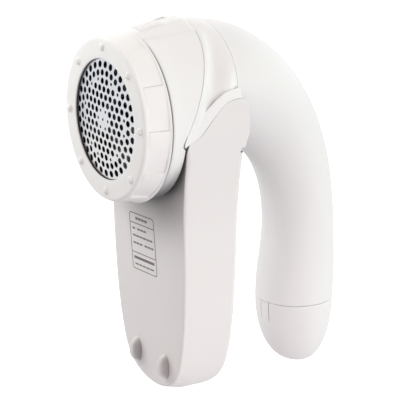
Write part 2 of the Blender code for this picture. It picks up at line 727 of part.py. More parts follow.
MOTOR_SCREW_PROFILE = [
    (29.6, 0.0), (29.6, 1.4), (30.0, 1.8), (31.1, 1.8), (31.1, 0.95), (38.6, 0.95),
    (39.0, 0.6), (39.0, 0.0)]
for i, x in enumerate((-MOTOR_SCREW_X, MOTOR_SCREW_X)):
    cut(bulkhead, aim(rod(30.0, 34.5, 1.3, 10, turn=11.0), (x, 0, 0)))
    cut(motor_can, aim(rod(34.0, 39.5, 1.25, 10, turn=11.0), (x, 0, 0)))
    add_piece("motor_screw_%d" % (i + 1), aim(turned(MOTOR_SCREW_PROFILE, 8), (x, 0, 0)),
              "spring_steel")
    add_piece("motor_terminal_%s" % "ab"[i],
              block((x - 1.4, 60.5, -0.3), (x + 1.4, 63.6, 0.3)), "brass")

# ---- handle halves, each with a spigot that reaches into the battery cap ---------------------------
SPIGOT_END_Z = -101.0
# insets from the outline at the 18 handle sections and the 2 spigot sections
OUTER_INSETS = [0.0] * 18 + [2.2] * 2
INNER_INSETS = [1.6] * 16 + [1.9, 2.85] + [2.85] * 2
# angles round the right half of a section
HANDLE_ANGLES = [radians(a) for a in (-90, -75, -58, -40, -20, 0, 20, 40, 58, 75, 90)]
handle_rows = [spline(HANDLE_KEYS, i / 17) for i in range(18)]
handle_rows[0][0] = handle_rows[0][2] = HANDLE_START_Y


def handle_point(row, a, inset):
    """Point of a handle section at angle a (radians; 0 = +X, pi/2 = outer side)."""
    outer_y, outer_z, inner_y, inner_z, half_x, outer_power, inner_power = row
    half_y, half_z = (outer_y - inner_y) / 2, (outer_z - inner_z) / 2
    half = sqrt(half_y * half_y + half_z * half_z)
    s = sin(a)
    power, sign = (outer_power, 1) if s >= 0 else (inner_power, -1)
    reach = abs(s) ** (2 * power) * sign * (half - inset) / half
    return ((half_x - inset) * cos(a), (outer_y + inner_y) / 2 + half_y * reach,
            (outer_z + inner_z) / 2 + half_z * reach)


def handle_grid(side, insets, spigot_top_z):
    outer_y, _, inner_y, _, *rest = handle_rows[-1]
    spigot = [[outer_y, z, inner_y, z, *rest] for z in (spigot_top_z, SPIGOT_END_Z)]
    grid = []
    for row, inset in zip(handle_rows + spigot, insets):
        points = [handle_point(row, a, inset) for a in HANDLE_ANGLES]
        grid.append([(side * max(x, GAP / 2), y, z) for x, y, z in points])
    return grid


def handle_half(name, side):
    outer = handle_grid(side, OUTER_INSETS, CAP_Z)
    inner = handle_grid(side, INNER_INSETS, CAP_Z - 0.01)
    return add_piece(name, shell(outer, inner), "white_shell")


handle_right = handle_half("handle_right", 1)
handle_left = handle_half("handle_left", -1)

# ---- handle screws, their bosses and bores -----------------------------------------------------
# y, z
HANDLE_SCREWS = [(60.0, 28.6), (68.5, -13.6), (104.5, -26.0)]
BOSS_R = 3.0
BOSS_START_X = 0.45
LEFT_BORE_PROFILE = [(-1.0, 0), (-1.0, 1.6), (4.0, 1.6), (4.0, 2.35), (30.0, 2.35), (30.0, 0)]
HANDLE_SCREW_PROFILE = [
    (-6.0, 0), (-5.6, 1.1), (4.3, 1.1), (4.3, 2.0), (5.6, 2.0), (6.0, 1.6), (6.0, 0)]


def handle_half_x(y, z):
    """Half width of the handle's outside at a point of the side view, by the nearest section."""
    nearest = None
    for i in range(60):
        row = spline(HANDLE_KEYS, i / 59)
        outer_y, outer_z, inner_y, inner_z, half_x, outer_power, inner_power = row
        dy, dz = outer_y - inner_y, outer_z - inner_z
        along = ((y - inner_y) * dy + (z - inner_z) * dz) / (dy * dy + dz * dz)
        distance = sqrt((y - inner_y - dy * along) ** 2 + (z - inner_z - dz * along) ** 2)
        if 0 < along < 1 and (nearest is None or distance < nearest[0]):
            reach = 2 * along - 1
            power = outer_power if reach >= 0 else inner_power
            s = abs(reach) ** (1 / (2 * power))
            nearest = (distance, half_x * sqrt(max(1 - s * s, 0)))
    return nearest[1]


for i, (y, z) in enumerate(HANDLE_SCREWS):
    centre = (0, y, z)
    boss_end = min(handle_half_x(y + dy, z + dz) for dy in (-BOSS_R, BOSS_R)
                   for dz in (-BOSS_R, BOSS_R)) - 0.5
    for half, side in ((handle_right, 1), (handle_left, -1)):
        join(half, aim(rod(BOSS_START_X, boss_end, BOSS_R, 10), centre, (side, 0, 0)))
    cut(handle_right, aim(rod(-1.0, 6.5, 1.35, 8), centre, (1, 0, 0)))
    cut(handle_left, aim(turned(LEFT_BORE_PROFILE, 8), centre, (-1, 0, 0)))
    add_piece("handle_screw_%d" % (i + 1),
              aim(turned(HANDLE_SCREW_PROFILE, 8), centre, (-1, 0, 0)), "spring_steel")

# ---- battery cap ---------------------------------------------------------------------------------
CAP_R = 17.75
CAP_Y = (HANDLE_KEYS[-1][0] + HANDLE_KEYS[-1][2]) / 2
CAP_DEPTH = 31.8
CAP_DRIFT = 3.2           # how far the pole lies behind the rim's centre
CAP_WALL = 1.2
# two slits in the rim: start and end angle from -Y towards +X
CAP_SLITS = ((-0.9, 0.5), (15.5, 16.9))
# stations from the rim (0) to the pole (1)
CAP_STATIONS = [0.0, 0.09, 0.185, 0.30, 0.43, 0.57, 0.70, 0.82, 0.91, 0.97, 1.0]


def cap_point(station, angle, inset):
    """angle in degrees from -Y towards +X."""
    rise = station * pi / 2
    z = CAP_Z - GAP - (CAP_DEPTH - GAP) * sin(rise) + inset * sin(rise) ** 2
    r = max(CAP_R * cos(rise) ** 0.80 - inset, 0.0)
    a = radians(angle)
    return (r * sin(a), CAP_Y + CAP_DRIFT * station ** 1.6 - r * cos(a), z)


cap_angles = sorted([*CAP_SLITS[0], *CAP_SLITS[1], 8.0] + [31 + 15 * k for k in range(22)])
slit_columns = [cap_angles.index(start) for start, end in CAP_SLITS]


def cap_grid(inset):
    return [[cap_point(q, angle, inset) for angle in cap_angles] for q in CAP_STATIONS]


def cap_mask(i, j):
    return not (i < 2 and j in slit_columns)


add_piece("battery_cap", shell(cap_grid(0.0), cap_grid(CAP_WALL), wrap=True, mask=cap_mask),
          "white_shell")

# ---- cells and contacts ------------------------------------------------------------------------------
CELL_R = 7.05
CELL_LENGTH = 50.3
CELL_BOTTOM_Z = -97.4
# distance from the flat end, radius
CELL_PROFILE = [
    (0.0, 0.0), (0.0, 6.6), (0.5, CELL_R), (49.0, CELL_R), (49.5, 6.4), (49.5, 2.7),
    (CELL_LENGTH, 2.6), (CELL_LENGTH, 0.0)]
CONTACT_BLOCK_PROFILE = [
    (-2.0, 0.0), (-2.0, 12.6), (-1.6, 13.0), (-0.4, 13.0), (0.0, 12.6), (0.0, 0.0)]

add_piece("battery_cell_1", aim(turned(CELL_PROFILE, 14), (-CELL_X, CELL_Y, CELL_BOTTOM_Z),
                                (0, 0, 1)), "cell_wrap")
add_piece("battery_cell_2", aim(turned(CELL_PROFILE, 14),
                                (CELL_X, CELL_Y, CELL_BOTTOM_Z + CELL_LENGTH), (0, 0, -1)),
          "cell_wrap")
add_piece("contact_block", aim(turned(CONTACT_BLOCK_PROFILE, 16), (0, 99.0, -42.6), (0, 0, 1)),
          "inner_plastic")
add_piece("contact_plate", block((-11.0, 95.6, -46.6), (-4.0, 103.2, -46.2)), "brass")
add_piece("contact_spring", coil((2.2, 3.8), -1.6, 2, 0.25, (CELL_X, CELL_Y, -44.95),
                                 (0, 0, 1)), "spring_steel", angle=60)
add_piece("cap_bridge_plate", block((-12.0, 95.4, -102.3), (12.0, 103.8, -101.8)), "brass")
for i, x in enumerate((-CELL_X, CELL_X)):
    add_piece("cap_spring_%d" % (i + 1),
              coil((4.4, 3.0), 3.1, 3, 0.25, (x, CELL_Y, -101.25), (0, 0, 1)),
              "spring_steel", angle=60)

# ---- wires: name, finish, points ---------------------------------------------------------------------
WIRES = [
    ("wire_battery_motor", "black_wire",
     [(-5, 99.4, -42.0), (-6, 97.5, -26), (-7, 88, -5), (-7, 77, 6), (-6.4, 69, 5),
      (-5.8, 64.2, 1.4)]),
    ("wire_battery_switch", "red_wire",
     [(4, 99.4, -42.0), (3, 98, -24), (1, 91, 0), (0, 77, 17), (0, 62, 22), (0, 48, 26),
      (0, 36, 29.6), (0, 31.2, 30.2)]),
    ("wire_switch_motor", "red_wire",
     [(4, 31.2, 28.8), (6, 38, 28), (8, 48, 22), (8.5, 58, 16), (8, 66, 9),
      (5.8, 64.6, 1.6)])]
for name, finish, points in WIRES:
    add_piece(name, wire_body(points), finish, angle=60)

# ---- lint box: tongue-shaped cup -------------------------------------------------------------------
HEAD_ARC_R = 34.2         # the front wall's cut-out round the head
ARC_END_X = 31.6          # where the cut-out meets the front corner
ARC_END_Z = -13.08
CORNER_TOP_Z = -5.2       # top of the front corner on the side wall
FRONT_CORNER_R = 1.9
REAR_CORNER_R = 2.4
EAR_Y = 49.8              # rear edge of the two ears
EAR_Z = -9.4              # their lower edge
REAR_TOP_Z = -11.8
TOP_ROWS = 6              # grid rows above the part that follows the outline
OUTLINE_START = 3.0 / (len(BOX_KEYS) - 1)
# heights of the rows between the rim and the outline's start
ROW_Z = {2: EAR_Z, 3: REAR_TOP_Z, 4: -20.0, 5: -31.0}
# y of the rear wall by z
BOX_REAR_Y = [(-124.0, 40.0), (-121.0, 44.5), (-117.5, 47.6), (-113.0, 49.0), (-104.0, 49.5),
              (-92.0, 49.3), (-60.0, 48.8), (-10.0, 48.4)]
# grid columns from the front centre to the rear centre: part of the wall, fraction in it
BOX_COLUMNS = (
    [("front", f) for f in (0.0, 0.36, 0.7)]
    + [("front corner", f) for f in (0.0, 0.35, 0.68)]
    + [("side", f) for f in (0.0, 0.14, 0.28, 0.44, 0.60, 0.76, 0.88, 0.96, 1.0)]
    + [("rear corner", f) for f in (0.6, 0.0)]
    + [("rear", f) for f in (0.6, 0.0)])
OUTLINE_STATIONS = [0.30, 0.38, 0.46, 0.55, 0.64, 0.72, 0.80, 0.87, 0.94, 1.0]


def box_front(z):
    return 19.6 + 0.0462 * max(-5.0 - z, 0.0)


def box_rear(z):
    return look_up(BOX_REAR_Y, z)


def box_x(z):
    return look_up(BOX_X_BY_Z, z)


def keel(s, y):
    """How far the bottom hangs below the outline."""
    return -2.5 * smooth((s - 0.55) / 0.45) * smooth((y - 24.0) / 10.0)


def corner_radii(inset):
    return FRONT_CORNER_R - inset * 0.8, REAR_CORNER_R - inset * 0.7


def outline(s):
    """x, z and outward normal of the right half outline; s from 0 (top) to 1 (bottom centre)."""
    x, z = spline(BOX_KEYS, s)
    if s >= 1.0:
        return x, z, 0.0, -1.0
    x1, z1 = spline(BOX_KEYS, max(s - 0.02, 0.0))
    x2, z2 = spline(BOX_KEYS, min(s + 0.02, 1.0))
    dx, dz = x2 - x1, z2 - z1
    length = sqrt(dx * dx + dz * dz)
    return x, z, -dz / length, dx / length


def box_low(part, f, s, inset):
    """Point of the skin where the rows follow the outline."""
    x, z, normal_x, normal_z = outline(s)
    front, rear = box_front(z) + inset, box_rear(z) - inset
    front_r, rear_r = corner_radii(inset)
    if part in ("front", "rear"):
        r = (front_r if part == "front" else rear_r) + inset
        edge_x, edge_z = max(x - r * normal_x, 0.0), z - r * normal_z
        centre_z = max(edge_z, -96.0)
        z = centre_z + (edge_z - centre_z) * f ** 1.6
        y = box_front(z) + inset if part == "front" else box_rear(z) - inset
        return edge_x * f, y, z + keel(s, y) * f
    a = radians(90.0 * f)
    depth = inset
    if part == "front corner":
        depth += front_r * (1 - sin(a))
        y = front + front_r * (1 - cos(a))
    elif part == "rear corner":
        depth += rear_r * (1 - sin(a))
        y = rear - rear_r * (1 - cos(a))
    else:
        y = front + front_r + (rear - rear_r - front - front_r) * f
    return max(x - depth * normal_x, 0.0), y, z - depth * normal_z + keel(s, y)


def box_top(part, f, k, inset):
    """Point of the skin above; k from 0 at the rim to TOP_ROWS at the outline's start."""
    low = box_low(part, f, OUTLINE_START, inset)
    t = k / TOP_ROWS
    front_r, rear_r = corner_radii(inset)
    a = radians(90.0 * f)
    if part == "front":
        x = ARC_END_X * f
        z = -sqrt(HEAD_ARC_R ** 2 - x * x) * (1 - t) + low[2] * t
        return x * (1 - t) + low[0] * t, box_front(z) + inset, z
    if part == "front corner":
        z = (ARC_END_Z + (CORNER_TOP_Z - ARC_END_Z) * f) * (1 - t) + low[2] * t
        x = box_x(z) - inset - front_r * (1 - sin(a)) if f > 0 else ARC_END_X
        return (x * (1 - t) + low[0] * t,
                box_front(z) + inset + front_r * (1 - cos(a)), z)
    if k == TOP_ROWS:
        return low
    # rows 0 and 1 of the rear are left out by the mask, so any height serves there
    z = ROW_Z.get(k, REAR_TOP_Z)
    if part == "side":
        start = box_front(-10.0) + inset + front_r
        end = EAR_Y if k <= 2 else box_rear(-20.0) - inset - rear_r
        y = start + (end - start) * f
        rim_z = look_up(RIM_Z_BY_Y, y)
        if k == 0:
            z = rim_z
        elif k == 1:
            z = 0.5 * (rim_z + EAR_Z)
        return box_x(z) - inset, y, z
    if part == "rear corner":
        return (box_x(z) - inset - rear_r * (1 - sin(a)),
                box_rear(z) - inset - rear_r * (1 - cos(a)), z)
    return (box_x(z) - inset - rear_r) * f, box_rear(z) - inset, z


def box_grid(inset):
    """Rows from the right rim down to the bottom centre and up to the left rim."""
    rows = [[box_top(part, f, k, inset) for part, f in BOX_COLUMNS]
            for k in range(TOP_ROWS + 1)]
    rows += [[box_low(part, f, s, inset) for part, f in BOX_COLUMNS] for s in OUTLINE_STATIONS]
    return rows + [[(-x, y, z) for x, y, z in row] for row in reversed(rows[:-1])]


FIRST_REAR = BOX_COLUMNS.index(("rear corner", 0.6))
BOX_CELL_ROWS = 2 * (TOP_ROWS + len(OUTLINE_STATIONS))


def box_mask(i, j):
    """Leaves out the rear wall above its top edge."""
    return not ((i < 3 or i >= BOX_CELL_ROWS - 3) and j >= FIRST_REAR - 1)


lint_box = add_piece("lint_box", shell(box_grid(0.0), box_grid(WALL), mask=box_mask, meets=True),
                     "white_box")

# two oval bumps low on the front wall
OVAL_X = 12.1
OVAL_Z = -112.0
for side in (-1, 1):
    oval = bmesh.new()
    bmesh.ops.create_uvsphere(oval, u_segments=12, v_segments=6, radius=1.0)
    for v in oval.verts:
        v.co = Vector((side * OVAL_X + v.co.x * 3.0, box_front(OVAL_Z) + 0.3 + v.co.y * 2.9,
                       OVAL_Z + v.co.z * 5.6))
    join(lint_box, oval)
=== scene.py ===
import bpy, bmesh, json, math
from math import sin, cos, pi, radians, degrees, sqrt, asin, atan2, floor
from mathutils import Vector, Matrix

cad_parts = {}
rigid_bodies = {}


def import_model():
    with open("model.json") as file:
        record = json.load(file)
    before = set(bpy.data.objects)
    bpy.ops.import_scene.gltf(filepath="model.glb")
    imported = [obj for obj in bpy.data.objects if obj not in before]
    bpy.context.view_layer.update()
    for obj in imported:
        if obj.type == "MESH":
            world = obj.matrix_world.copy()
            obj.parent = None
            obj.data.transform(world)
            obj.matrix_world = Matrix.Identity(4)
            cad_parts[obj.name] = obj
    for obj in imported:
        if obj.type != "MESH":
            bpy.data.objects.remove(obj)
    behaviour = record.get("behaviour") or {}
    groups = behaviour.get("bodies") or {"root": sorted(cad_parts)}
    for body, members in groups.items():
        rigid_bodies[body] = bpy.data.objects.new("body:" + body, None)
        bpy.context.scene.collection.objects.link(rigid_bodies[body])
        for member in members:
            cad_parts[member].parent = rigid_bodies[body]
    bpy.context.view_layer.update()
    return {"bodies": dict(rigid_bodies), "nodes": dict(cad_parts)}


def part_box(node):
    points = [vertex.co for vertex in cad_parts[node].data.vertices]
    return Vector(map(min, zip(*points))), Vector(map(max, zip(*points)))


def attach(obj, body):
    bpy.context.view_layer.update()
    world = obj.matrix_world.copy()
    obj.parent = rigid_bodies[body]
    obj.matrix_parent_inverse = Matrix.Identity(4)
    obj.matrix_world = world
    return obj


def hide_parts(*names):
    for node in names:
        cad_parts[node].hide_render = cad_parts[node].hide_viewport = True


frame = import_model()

# Looks of the fabric shaver. Lengths are in millimetres in the work frame: the cutter's axis is
# the Y axis, the guard ring's front face is y = 0, and O carries that frame to the row frame.
g0, g1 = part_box("guard_ring")
O = Vector((0.0, g0.y + 0.001, (g0.z + g1.z) / 2))
MM = 0.001
NODES = frame["nodes"]

RING_R, RING_REAR_R, RING_DEPTH, RING_OPEN_R, RING_INNER_R = 35.0, 36.95, 11.9, 25.75, 33.4
BUMP_PCR, BUMP_COUNT, BUMP_PHASE = 30.7, 8, 3.7
FOIL_R, FOIL_SAG, FOIL_Y0, FOIL_RIM_R = 25.8, 1.7, -0.55, 28.4
BARREL_R, BARREL_Y0, BARREL_SLOPE = 35.5, 12.55, 0.165
SEAM_A_Y, SEAM_A_K, BARREL_LOW_Y, BARREL_FOOT = 20.3, 0.45, 18.3, 1.0
WALL, HANDLE_WALL = 2.0, 1.6
SEAM_C_Y = 46.9
CAP_Z, CAP_DEPTH, CAP_DRIFT = -94.5, 31.8, 3.2
HANDLE_KEYS = [
    (46.5, 38.6, 46.5, -10.5, 30.3, .50, .50), (56.5, 37.0, 53.0, -12.5, 28.6, .50, .56),
    (67.0, 33.0, 60.0, -15.5, 26.4, .50, .60), (77.0, 26.8, 67.0, -20.0, 24.2, .50, .61),
    (86.5, 18.8, 73.0, -25.5, 22.0, .50, .60), (95.0, 9.0, 77.6, -32.0, 20.0, .50, .58),
    (102.3, -2.5, 80.8, -39.5, 18.4, .50, .56), (108.3, -15.8, 82.9, -47.5, 17.4, .50, .54),
    (112.6, -30.5, 84.0, -56.0, 16.9, .50, .52), (115.4, -47.0, 84.2, -65.0, 16.7, .50, .50),
    (117.0, -65.0, 83.2, -74.0, 17.0, .50, .50), (117.6, -80.0, 82.0, -83.5, 17.5, .50, .50),
    (117.4, -94.5, 81.7, -94.5, 17.7, .50, .50)]
BOX_KEYS = [(35.6, 12.0), (35.65, -6.0), (32.9, -25.0), (31.4, -42.0), (31.1, -57.0), (30.3, -73.0),
            (29.3, -85.0), (27.7, -95.5), (25.6, -104.4), (22.9, -111.8), (18.7, -117.6),
            (12.8, -121.1), (6.4, -122.9), (0.0, -123.5)]
RIM_KEYS = [(18.6, -6.3), (22.4, -4.2), (26.2, -2.2), (31.4, 3.6), (37.2, 9.6), (40.5, 11.3),
            (44.0, 11.8), (47.2, 11.3), (49.2, 9.3), (49.8, 6.0)]
BAND_KEYS = [(18.6, -4.6), (20.6, -1.6), (23.2, 1.0), (26.4, 5.3), (31.1, 9.9), (36.8, 13.9),
             (41.0, 15.2), (46.6, 15.6)]
SCREWS = [(60.0, 28.6), (68.5, -13.6), (104.5, -26.0)]


# ---- small helpers ---------------------------------------------------------------------------
def spline(keys, t):
    m = len(keys)
    x = min(max(t, 0.0), 1.0) * (m - 1)
    j = min(int(x), m - 2)
    u = x - j
    p1, p2 = keys[j], keys[j + 1]
    p0 = keys[j - 1] if j else [2 * a - b for a, b in zip(p1, p2)]
    p3 = keys[j + 2] if j < m - 2 else [2 * b - a for a, b in zip(p1, p2)]
    return [0.5 * (2 * b + (c - a) * u + (2 * a - 5 * b + 4 * c - d) * u * u
                   + (3 * b - a - 3 * c + d) * u ** 3) for a, b, c, d in zip(p0, p1, p2, p3)]


def smooth(x):
    x = min(max(x, 0.0), 1.0)
    return x * x * (3 - 2 * x)


def table(pairs, x):
    if x <= pairs[0][0]:
        return pairs[0][1]
    a, b = 0, len(pairs) - 1
    if x >= pairs[b][0]:
        return pairs[b][1]
    while b - a > 1:
        m = (a + b) // 2
        if pairs[m][0] <= x:
            a = m
        else:
            b = m
    (xa, fa), (xb, fb) = pairs[a], pairs[b]
    return fa + (fb - fa) * (x - xa) / max(xb - xa, 1e-9)


def as_table(keys, n, flip=False):
    t = [tuple(spline(keys, k / (n - 1))) for k in range(n)]
    return sorted((b, a) if flip else (a, b) for a, b in t)


RIM_TAB = as_table(RIM_KEYS, 200)
OUT_TAB = as_table(BOX_KEYS, 800, True)


def steps(a, b, n):
    return [a + (b - a) * k / n for k in range(n + 1)]


def face(bm, vs):
    vs = [v for k, v in enumerate(vs) if v is not vs[k - 1]]
    if len(vs) > 2:
        try:
            return bm.faces.new(vs)
        except ValueError:
            pass


def thick(outer, inner, wrap=False, mask=None, meets=False):
    bm = bmesh.new()
    R, C = len(outer), len(outer[0])
    A = [[bm.verts.new(p) for p in row] for row in outer]
    B = [[bm.verts.new(p) for p in row] for row in inner]
    cols = C if wrap else C - 1
    on = [[(mask is None or mask(i, j)) for j in range(cols)] for i in range(R - 1)]

    def cell(i, j):
        if wrap:
            j %= C
        return 0 <= i < R - 1 and 0 <= j < cols and on[i][j]
    for i in range(R - 1):
        for j in range(cols):
            if not on[i][j]:
                continue
            k = (j + 1) % C
            face(bm, [A[i][j], A[i][k], A[i + 1][k], A[i + 1][j]])
            face(bm, [B[i][j], B[i + 1][j], B[i + 1][k], B[i][k]])
            if not cell(i - 1, j):
                face(bm, [A[i][k], A[i][j], B[i][j], B[i][k]])
            if not cell(i + 1, j):
                face(bm, [A[i + 1][j], A[i + 1][k], B[i + 1][k], B[i + 1][j]])
            if not cell(i, j - 1) and not (meets and j == 0):
                face(bm, [A[i][j], A[i + 1][j], B[i + 1][j], B[i][j]])
            if not cell(i, j + 1) and not (meets and j == cols - 1):
                face(bm, [A[i + 1][k], A[i][k], B[i][k], B[i + 1][k]])
    bmesh.ops.delete(bm, geom=[v for v in bm.verts if not v.link_faces], context='VERTS')
    return bm


def swirl(angles, loop_at):
    bm = bmesh.new()
    cols = []
    for a in angles:
        c, s = cos(radians(a)), sin(radians(a))
        cols.append([bm.verts.new((r * c, y, r * s)) for y, r in loop_at(a)])
    n, m = len(cols), len(cols[0])
    for j in range(n):
        for k in range(m):
            p, q = cols[j], cols[(j + 1) % n]
            face(bm, [p[k], p[(k + 1) % m], q[(k + 1) % m], q[k]])
    return bm


def spun(profile, n):
    bm = bmesh.new()
    vs = [bm.verts.new((r, y, 0.0)) for y, r in profile]
    es = [bm.edges.new((a, b)) for a, b in zip(vs, vs[1:])]
    bmesh.ops.spin(bm, geom=vs + es, cent=(0, 0, 0), axis=(0, 1, 0), angle=2 * pi, steps=n, use_duplicate=False)
    bmesh.ops.remove_doubles(bm, verts=bm.verts, dist=1e-4)
    return bm


def aim(bm, at, axis):
    q = Vector((0, 1, 0)).rotation_difference(Vector(axis))
    bmesh.ops.transform(bm, matrix=Matrix.Translation(Vector(at)) @ q.to_matrix().to_4x4(), verts=bm.verts)
    return bm


def merge(bms):
    out = bmesh.new()
    for b in bms:
        me = bpy.data.meshes.new("part")
        b.to_mesh(me)
        b.free()
        out.from_mesh(me)
        bpy.data.meshes.remove(me)
    return out


def arc_pts(cy, cr, r, a0, a1, n):
    """(y, r) points of an arc; angle 0 points to -Y, 90 points outwards."""
    return [(cy - r * cos(radians(a)), cr + r * sin(radians(a))) for a in steps(a0, a1, n)]


def piece(name, bm, mat, body, replaces=(), angle=40.0, dist=1e-4):
    bmesh.ops.remove_doubles(bm, verts=bm.verts, dist=dist)
    bmesh.ops.dissolve_degenerate(bm, edges=bm.edges, dist=dist)
    bmesh.ops.recalc_face_normals(bm, faces=bm.faces)
    for v in bm.verts:
        v.co = v.co * MM + O
    me = bpy.data.meshes.new(name)
    bm.to_mesh(me)
    bm.free()
    me.shade_smooth()
    me.set_sharp_from_angle(angle=radians(angle))
    ob = bpy.data.objects.new(name, me)
    bpy.context.scene.collection.objects.link(ob)
    me.materials.append(mat)
    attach(ob, body)
    if replaces:
        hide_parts(*replaces)
    return ob


# ---- materials -------------------------------------------------------------------------------
def node(nt, kind, **ins):
    n = nt.nodes.new(kind)
    for k, v in ins.items():
        n.inputs[k.replace("_", " ")].default_value = v
    return n


def plastic(name, rgb, rough, grain=0.35, tint=(1.0, 0.985, 0.97), spec=0.5, sss=0.0, coat=0.0, painted_nook_shade=None):
    """Moulded plastic: faint cloudy colour, uneven gloss, fine spark-eroded grain, worn brighter edges, and, when
    asked, painted shade in closed-in places.
    """
    m = bpy.data.materials.new(name)
    m.use_nodes = True
    nt = m.node_tree
    b = nt.nodes["Principled BSDF"]
    tc = nt.nodes.new("ShaderNodeTexCoord")
    big = node(nt, "ShaderNodeTexNoise", Scale=38.0, Detail=3.0, Roughness=0.5)
    fine = node(nt, "ShaderNodeTexNoise", Scale=2600.0, Detail=2.0, Roughness=0.6)
    smear = node(nt, "ShaderNodeTexNoise", Scale=170.0, Detail=5.0, Roughness=0.65)
    for n in (big, fine, smear):
        nt.links.new(tc.outputs["Object"], n.inputs["Vector"])
    mix = nt.nodes.new("ShaderNodeMix")
    mix.data_type = 'RGBA'
    mix.inputs["A"].default_value = (*rgb, 1)
    mix.inputs["B"].default_value = (*[a * t for a, t in zip(rgb, tint)], 1)
    nt.links.new(big.outputs["Fac"], mix.inputs["Factor"])
    geo = nt.nodes.new("ShaderNodeNewGeometry")
    edge = node(nt, "ShaderNodeMapRange", From_Min=0.53, From_Max=0.60, To_Min=0.0, To_Max=0.35)
    nt.links.new(geo.outputs["Pointiness"], edge.inputs["Value"])
    wear_and_painted_shade = nt.nodes.new("ShaderNodeMix")
    wear_and_painted_shade.data_type = 'RGBA'
    wear_and_painted_shade.inputs["B"].default_value = (*[min(1.0, a * 1.06) for a in rgb], 1)
    nt.links.new(edge.outputs["Result"], wear_and_painted_shade.inputs["Factor"])
    nt.links.new(mix.outputs["Result"], wear_and_painted_shade.inputs["A"])
    if painted_nook_shade:
        # painted shade: ambient occlusion darkens the colour, down to 16% of it, in closed-in places and under
        # overhangs; reach in metres, then the openness where it starts and ends
        ao = nt.nodes.new("ShaderNodeAmbientOcclusion")
        ao.samples = 16
        ao.inputs["Distance"].default_value = painted_nook_shade[0]
        shade_openness = node(nt, "ShaderNodeMapRange", From_Min=painted_nook_shade[1], From_Max=painted_nook_shade[2], To_Min=0.0, To_Max=1.0)
        nt.links.new(ao.outputs["AO"], shade_openness.inputs["Value"])
        # the painted shade is left out below 5 to 8 cm of height in the part's own coordinates, near the floor
        part_z = nt.nodes.new("ShaderNodeSeparateXYZ")
        nt.links.new(tc.outputs["Object"], part_z.inputs[0])
        near_floor_unshaded = node(nt, "ShaderNodeMapRange", From_Min=0.050, From_Max=0.078, To_Min=1.0, To_Max=0.0)
        nt.links.new(part_z.outputs["Z"], near_floor_unshaded.inputs["Value"])
        free = nt.nodes.new("ShaderNodeMath")
        free.operation = 'MAXIMUM'
        nt.links.new(shade_openness.outputs["Result"], free.inputs[0])
        nt.links.new(near_floor_unshaded.outputs["Result"], free.inputs[1])
        # painted shade colour: the plastic's colour at 16%
        painted_shade_mix = nt.nodes.new("ShaderNodeMix")
        painted_shade_mix.data_type = 'RGBA'
        painted_shade_mix.inputs["A"].default_value = (*[a * 0.16 for a in rgb], 1)
        nt.links.new(free.outputs[0], painted_shade_mix.inputs["Factor"])
        nt.links.new(wear_and_painted_shade.outputs["Result"], painted_shade_mix.inputs["B"])
        wear_and_painted_shade = painted_shade_mix
    nt.links.new(wear_and_painted_shade.outputs["Result"], b.inputs["Base Color"])
    rr = node(nt, "ShaderNodeMapRange", From_Min=0.3, From_Max=0.7, To_Min=rough * 0.86, To_Max=rough * 1.14)
    nt.links.new(smear.outputs["Fac"], rr.inputs["Value"])
    nt.links.new(rr.outputs["Result"], b.inputs["Roughness"])
    bump = node(nt, "ShaderNodeBump", Strength=grain * 0.16, Distance=0.00004)
    nt.links.new(fine.outputs["Fac"], bump.inputs["Height"])
    nt.links.new(bump.outputs["Normal"], b.inputs["Normal"])
    b.inputs["Specular IOR Level"].default_value = spec
    if sss:
        b.inputs["Subsurface Weight"].default_value = sss
        b.inputs["Subsurface Radius"].default_value = (0.0022, 0.0019, 0.0016)
        b.inputs["Subsurface Scale"].default_value = 1.0
    if coat:
        b.inputs["Coat Weight"].default_value = coat
        b.inputs["Coat Roughness"].default_value = 0.12
    return m


def metal(name, rgb, rough, brushed=(1.0, 1.0, 1.0), scale=300.0, depth=0.25, aniso=0.0):
    """Metal with rolled or ground marks stretched along one axis and cloudy gloss."""
    m = bpy.data.materials.new(name)
    m.use_nodes = True
    nt = m.node_tree
    b = nt.nodes["Principled BSDF"]
    tc = nt.nodes.new("ShaderNodeTexCoord")
    mp = nt.nodes.new("ShaderNodeMapping")
    mp.inputs["Scale"].default_value = brushed
    nt.links.new(tc.outputs["Object"], mp.inputs["Vector"])
    lines = node(nt, "ShaderNodeTexNoise", Scale=scale, Detail=4.0, Roughness=0.7)
    nt.links.new(mp.outputs["Vector"], lines.inputs["Vector"])
    cloud = node(nt, "ShaderNodeTexNoise", Scale=120.0, Detail=3.0, Roughness=0.6)
    nt.links.new(tc.outputs["Object"], cloud.inputs["Vector"])
    mix = nt.nodes.new("ShaderNodeMix")
    mix.data_type = 'RGBA'
    mix.inputs["A"].default_value = (*[a * 0.86 for a in rgb], 1)
    mix.inputs["B"].default_value = (*[min(1, a * 1.04) for a in rgb], 1)
    nt.links.new(lines.outputs["Fac"], mix.inputs["Factor"])
    nt.links.new(mix.outputs["Result"], b.inputs["Base Color"])
    rr = node(nt, "ShaderNodeMapRange", From_Min=0.3, From_Max=0.7, To_Min=rough * 0.75, To_Max=rough * 1.3)
    nt.links.new(cloud.outputs["Fac"], rr.inputs["Value"])
    nt.links.new(rr.outputs["Result"], b.inputs["Roughness"])
    b.inputs["Metallic"].default_value = 1.0
    b.inputs["Anisotropic"].default_value = aniso
    bump = node(nt, "ShaderNodeBump", Strength=depth * 0.3, Distance=0.00003)
    nt.links.new(lines.outputs["Fac"], bump.inputs["Height"])
    nt.links.new(bump.outputs["Normal"], b.inputs["Normal"])
    return m


